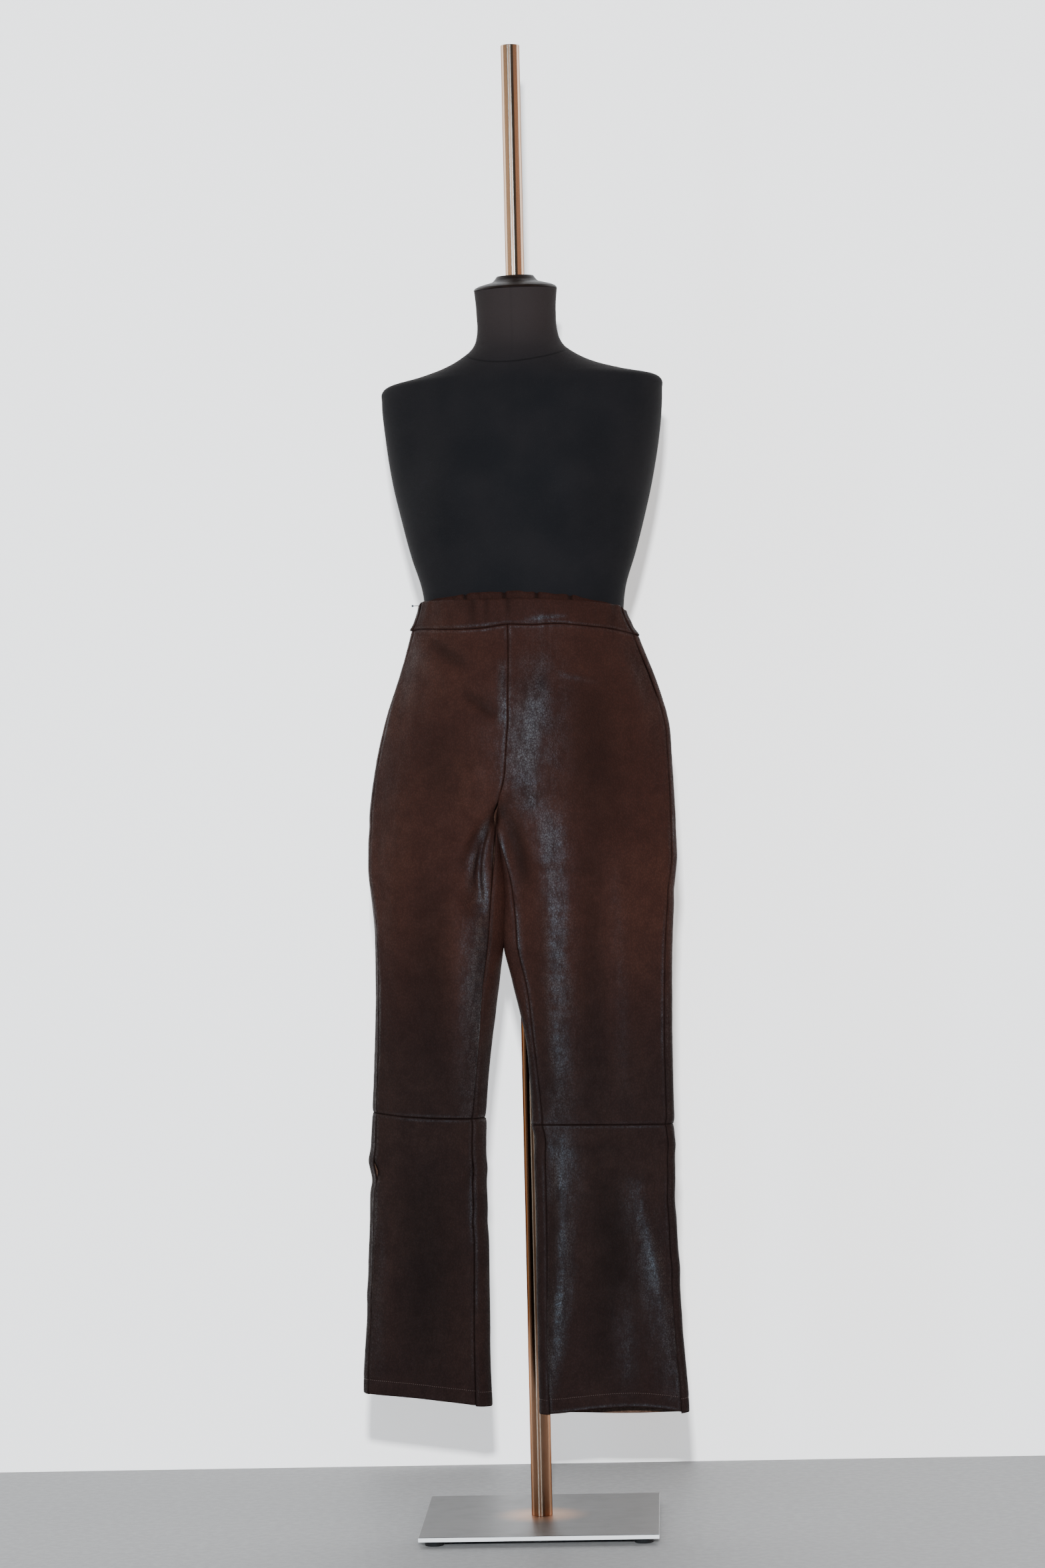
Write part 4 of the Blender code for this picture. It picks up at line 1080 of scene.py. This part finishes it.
def plate_material():
    n, colour, rough, lines = brushed(
        "brushed_steel_plate", (0.1, 0.099, 0.097), (0.165, 0.162, 0.16), 0.34, 0.46,
        (9, 900, 900))
    # Painted reflection: a copper glow on the plate round the pole's foot, the light that the copper
    # pole throws there.
    distance = n.add("VectorMath", "Value", {0: n.mapped(1, 1, 0)}, operation="LENGTH")
    colour = n.mix(n.ramp(distance, 0.018, 0.07, 0.6, 0), colour, (0.62, 0.34, 0.2))
    side = n.ramp(n.height(), PLATE_TOP - 0.0008, PLATE_TOP - 0.0003, 1, 0)
    return n.finish(n.mix(side, colour, grey(0.74)), rough, n.bump(lines, 3e-5, 0.6),
                    Metallic=n.math("SUBTRACT", 1, n.product(side, 0.85)))


# Painted reflection of the dark trousers on the lower tube: above the first height the tube starts to
# darken, and from the second it has the last shade.
PAINTED_DARK_REFLECTION = (0.17, 0.3, (0.3, 0.28, 0.26))


def pole_material(name, dark, light, rough, dark_reflection=None):
    n, colour, rough, _ = brushed(name, dark, light, *rough, (900, 900, 9))
    if dark_reflection:
        # Painted reflection: the tube is darkened upwards, where it mirrors the dark trousers.
        colour = n.mix(n.ramp(n.height(), *dark_reflection[:2]), colour, dark_reflection[2], "MULTIPLY")
    return n.finish(colour, rough, Metallic=1, Specular_Tint=(0.12, 0.09, 0.08),
                    Anisotropic=1, Anisotropic_Rotation=0.25)


def speckled(name, speck, dark, light, tones, rough, bump, **others):
    """A plain finish of two shades in fine specks, which its roughness and relief follow."""
    n = Nodes(name)
    speck = n.noise(*speck)
    colour = n.mix(n.ramp(speck, *tones), dark, light)
    if isinstance(rough, tuple):
        rough = n.ramp(speck, 0.3, 0.7, *rough)
    return n.finish(colour, rough, n.bump(speck, *bump), **others)


def plain_metal(name, dark, light, *rough):
    return speckled(name, (700, 3, 0.65), grey(dark), grey(light), (0.35, 0.65), rough,
                    (4e-5, 0.5), Metallic=1)


# ---------------- stage, light and camera
STAGE_HALF = 8
FLOOR_BACK = 0.485
WALL_GLOW = 0.68
CAMERA_FAR = 5.42
CAMERA_TURN = math.radians(2)
CAMERA_ROLL = math.radians(1.26)
CAMERA_HEIGHT = 0.9778
CAMERA_SIDE = -0.0048
LENS = 94.27


def add_stage():
    """A pale floor and a pale wall that glows faintly and is clear from behind."""
    n = Nodes("pale_floor")
    grain = n.ramp(n.noise(90, 5, 0.65), 0.35, 0.7)
    broad = n.ramp(n.noise(1.6, 2, 0.5), 0.3, 0.7, 0, 0.2)
    colour = n.mix(broad, n.mix(grain, grey(0.205), grey(0.255)), grey(0.19))
    s = STAGE_HALF
    corners = [(-s, -s, 0), (s, -s, 0), (s, s, 0), (-s, s, 0)]
    floor = add_mesh("floor", corners, [range(4)], n.finish(colour, 0.55))
    n = Nodes("pale_wall")
    tone = n.ramp(n.noise(0.9, 2, 0.5), 0.3, 0.7)
    n.finish(n.mix(tone, grey(0.8), grey(0.83)), 0.9, Emission_Color=(1, 0.982, 0.972),
             Emission_Strength=WALL_GLOW)
    either = n.add("MixShader", 0, {
        0: n.add("NewGeometry", "Backfacing"), 1: n.shader.outputs[0], 2: n.add("BsdfTransparent")})
    n.give(n.tree.nodes["Material Output"], {"Surface": either})
    y = FLOOR_BACK
    corners = [(-s, y, 0), (s, y, 0), (s, y, s), (-s, y, s)]
    wall = add_mesh("backdrop", corners, [range(4)], n.material)


def add_area(name, place, aim, size, energy, colour):
    """A lamp at a place, turned to the height aim on the pole's axis."""
    data = bpy.data.lights.new(name, "AREA")
    data.shape = "RECTANGLE"
    data.size, data.size_y = size
    data.energy = energy
    data.color = colour
    made = bpy.data.objects.new(name, data)
    made.location = place
    towards = Vector((0, 0, aim)) - Vector(place)
    made.rotation_euler = towards.to_track_quat("-Z", "Y").to_euler()
    bpy.context.collection.objects.link(made)
    return made


def add_lights():
    world = bpy.data.worlds.new("studio")
    world.use_nodes = True
    background = world.node_tree.nodes["Background"].inputs
    background["Color"].default_value = (1, 0.93, 0.87, 1)
    background["Strength"].default_value = 0.07
    bpy.context.scene.world = world
    cool = (0.44, 0.72, 1)
    key = add_area("key", (0.14, -5.35, 1.6), 1.6, (0.1, 0.1), 640, (0.97, 0.985, 1))
    key.visible_glossy = False
    add_area("front_strip", (0.1, -5.35, 1.5), 1.5, (0.45, 2.9), 54, cool)
    add_area("left_strip", (-2.78, -4.63, 1.5), 1.5, (0.5, 2.9), 64, cool)
    add_area("high_band", (-1.3, -5.3, 2.65), 1.8, (3, 0.8), 34, (1, 0.98, 0.95))
    add_area("left", (-3, -1.5, 1.7), 1.1, (3.2, 2.6), 17, (1, 0.8, 0.58))
    add_area("right", (3, -1.5, 1.7), 1.1, (3.2, 2.6), 13, (1, 0.6, 0.4))


def add_camera():
    data = bpy.data.cameras.new("camera")
    data.lens = LENS
    data.sensor_width = 36
    made = bpy.data.objects.new("camera", data)
    made.matrix_world = (
        Matrix.Rotation(CAMERA_TURN, 4, "Z")
        @ Matrix.Translation((CAMERA_SIDE, -CAMERA_FAR, CAMERA_HEIGHT))
        @ Matrix.Rotation(math.radians(90), 4, "X")
        @ Matrix.Rotation(-CAMERA_ROLL, 4, "Z"))
    bpy.context.collection.objects.link(made)
    bpy.context.scene.camera = made


# ---------------- putting it together
def paint(node, finish):
    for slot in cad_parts[node].material_slots:
        slot.material = finish


def add_trousers():
    leather = leather_material()
    thread = speckled("brown_thread", (3000, 2, 0.5), (0.042, 0.029, 0.026),
                      (0.08, 0.056, 0.05), (0.35, 0.65), 0.55, (5e-5, 0.8))
    panels = [add_panel(side, part, tier, leather)
              for side in SIDES for part in PARTS for tier in ("upper", "lower")]
    bands = [add_band(part, leather) for part in PARTS]
    for side in SIDES:
        add_stitches(f"hem_stitches_{side}", hem_paths(side), thread)


def add_stand():
    upper = pole_material("polished_pole_upper", (0.62, 0.43, 0.32), (0.76, 0.56, 0.42), (0.13, 0.16))
    lower = pole_material("polished_pole_lower", (0.38, 0.21, 0.13), (0.52, 0.3, 0.19), (0.17, 0.2),
                          PAINTED_DARK_REFLECTION)
    r = UPPER_TUBE_RADIUS
    bottom, top = (corner[2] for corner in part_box("upper_tube"))
    profile = rounded([(r - 0.0015, top - 0.003), (r - 0.0015, bottom), (r, bottom),
                       (r, top - 0.0004), (r - 0.0012, top), (0.0006, top)], 0.0004)
    add_tube("upper_tube", profile, upper, "mast", False)
    r = LOWER_TUBE_RADIUS
    bottom, top = (corner[2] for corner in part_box("lower_tube"))
    profile = [(RUNNING, bottom), (r, bottom), (r, top), (RUNNING, top)]
    add_tube("lower_tube", profile, lower, "base")
    profile = rounded([(radius, NECK_TOP + GAP + height) for radius, height in CAP], 0.0012)
    points = turned(tilted(*rings(profile, CAP_SIDES)))
    add_turned("neck_cap_lacquer", points, lacquer_material(), "form", "neck_cap")
    paint("base_plate", plate_material())
    rubber = speckled("black_rubber_foot", (1200, 3, 0.7), grey(0.005), grey(0.011), (0.4, 0.7),
                      (0.65, 0.85), (6e-5, 0.6))
    for part in PARTS:
        for side in SIDES:
            paint(f"foot_{part}_{side}", rubber)
    dark = plain_metal("satin_black_metal", 0.018, 0.035, 0.38, 0.5)
    for node in ("height_collar", "height_knob", "rest_ring", "pole_screw"):
        paint(node, dark)
    paint("waist_pin", plain_metal("pin_steel", 0.12, 0.2, 0.3, 0.4))


add_camera()
add_trousers()
add_torso(jersey_material())
add_stand()
add_stage()
add_lights()
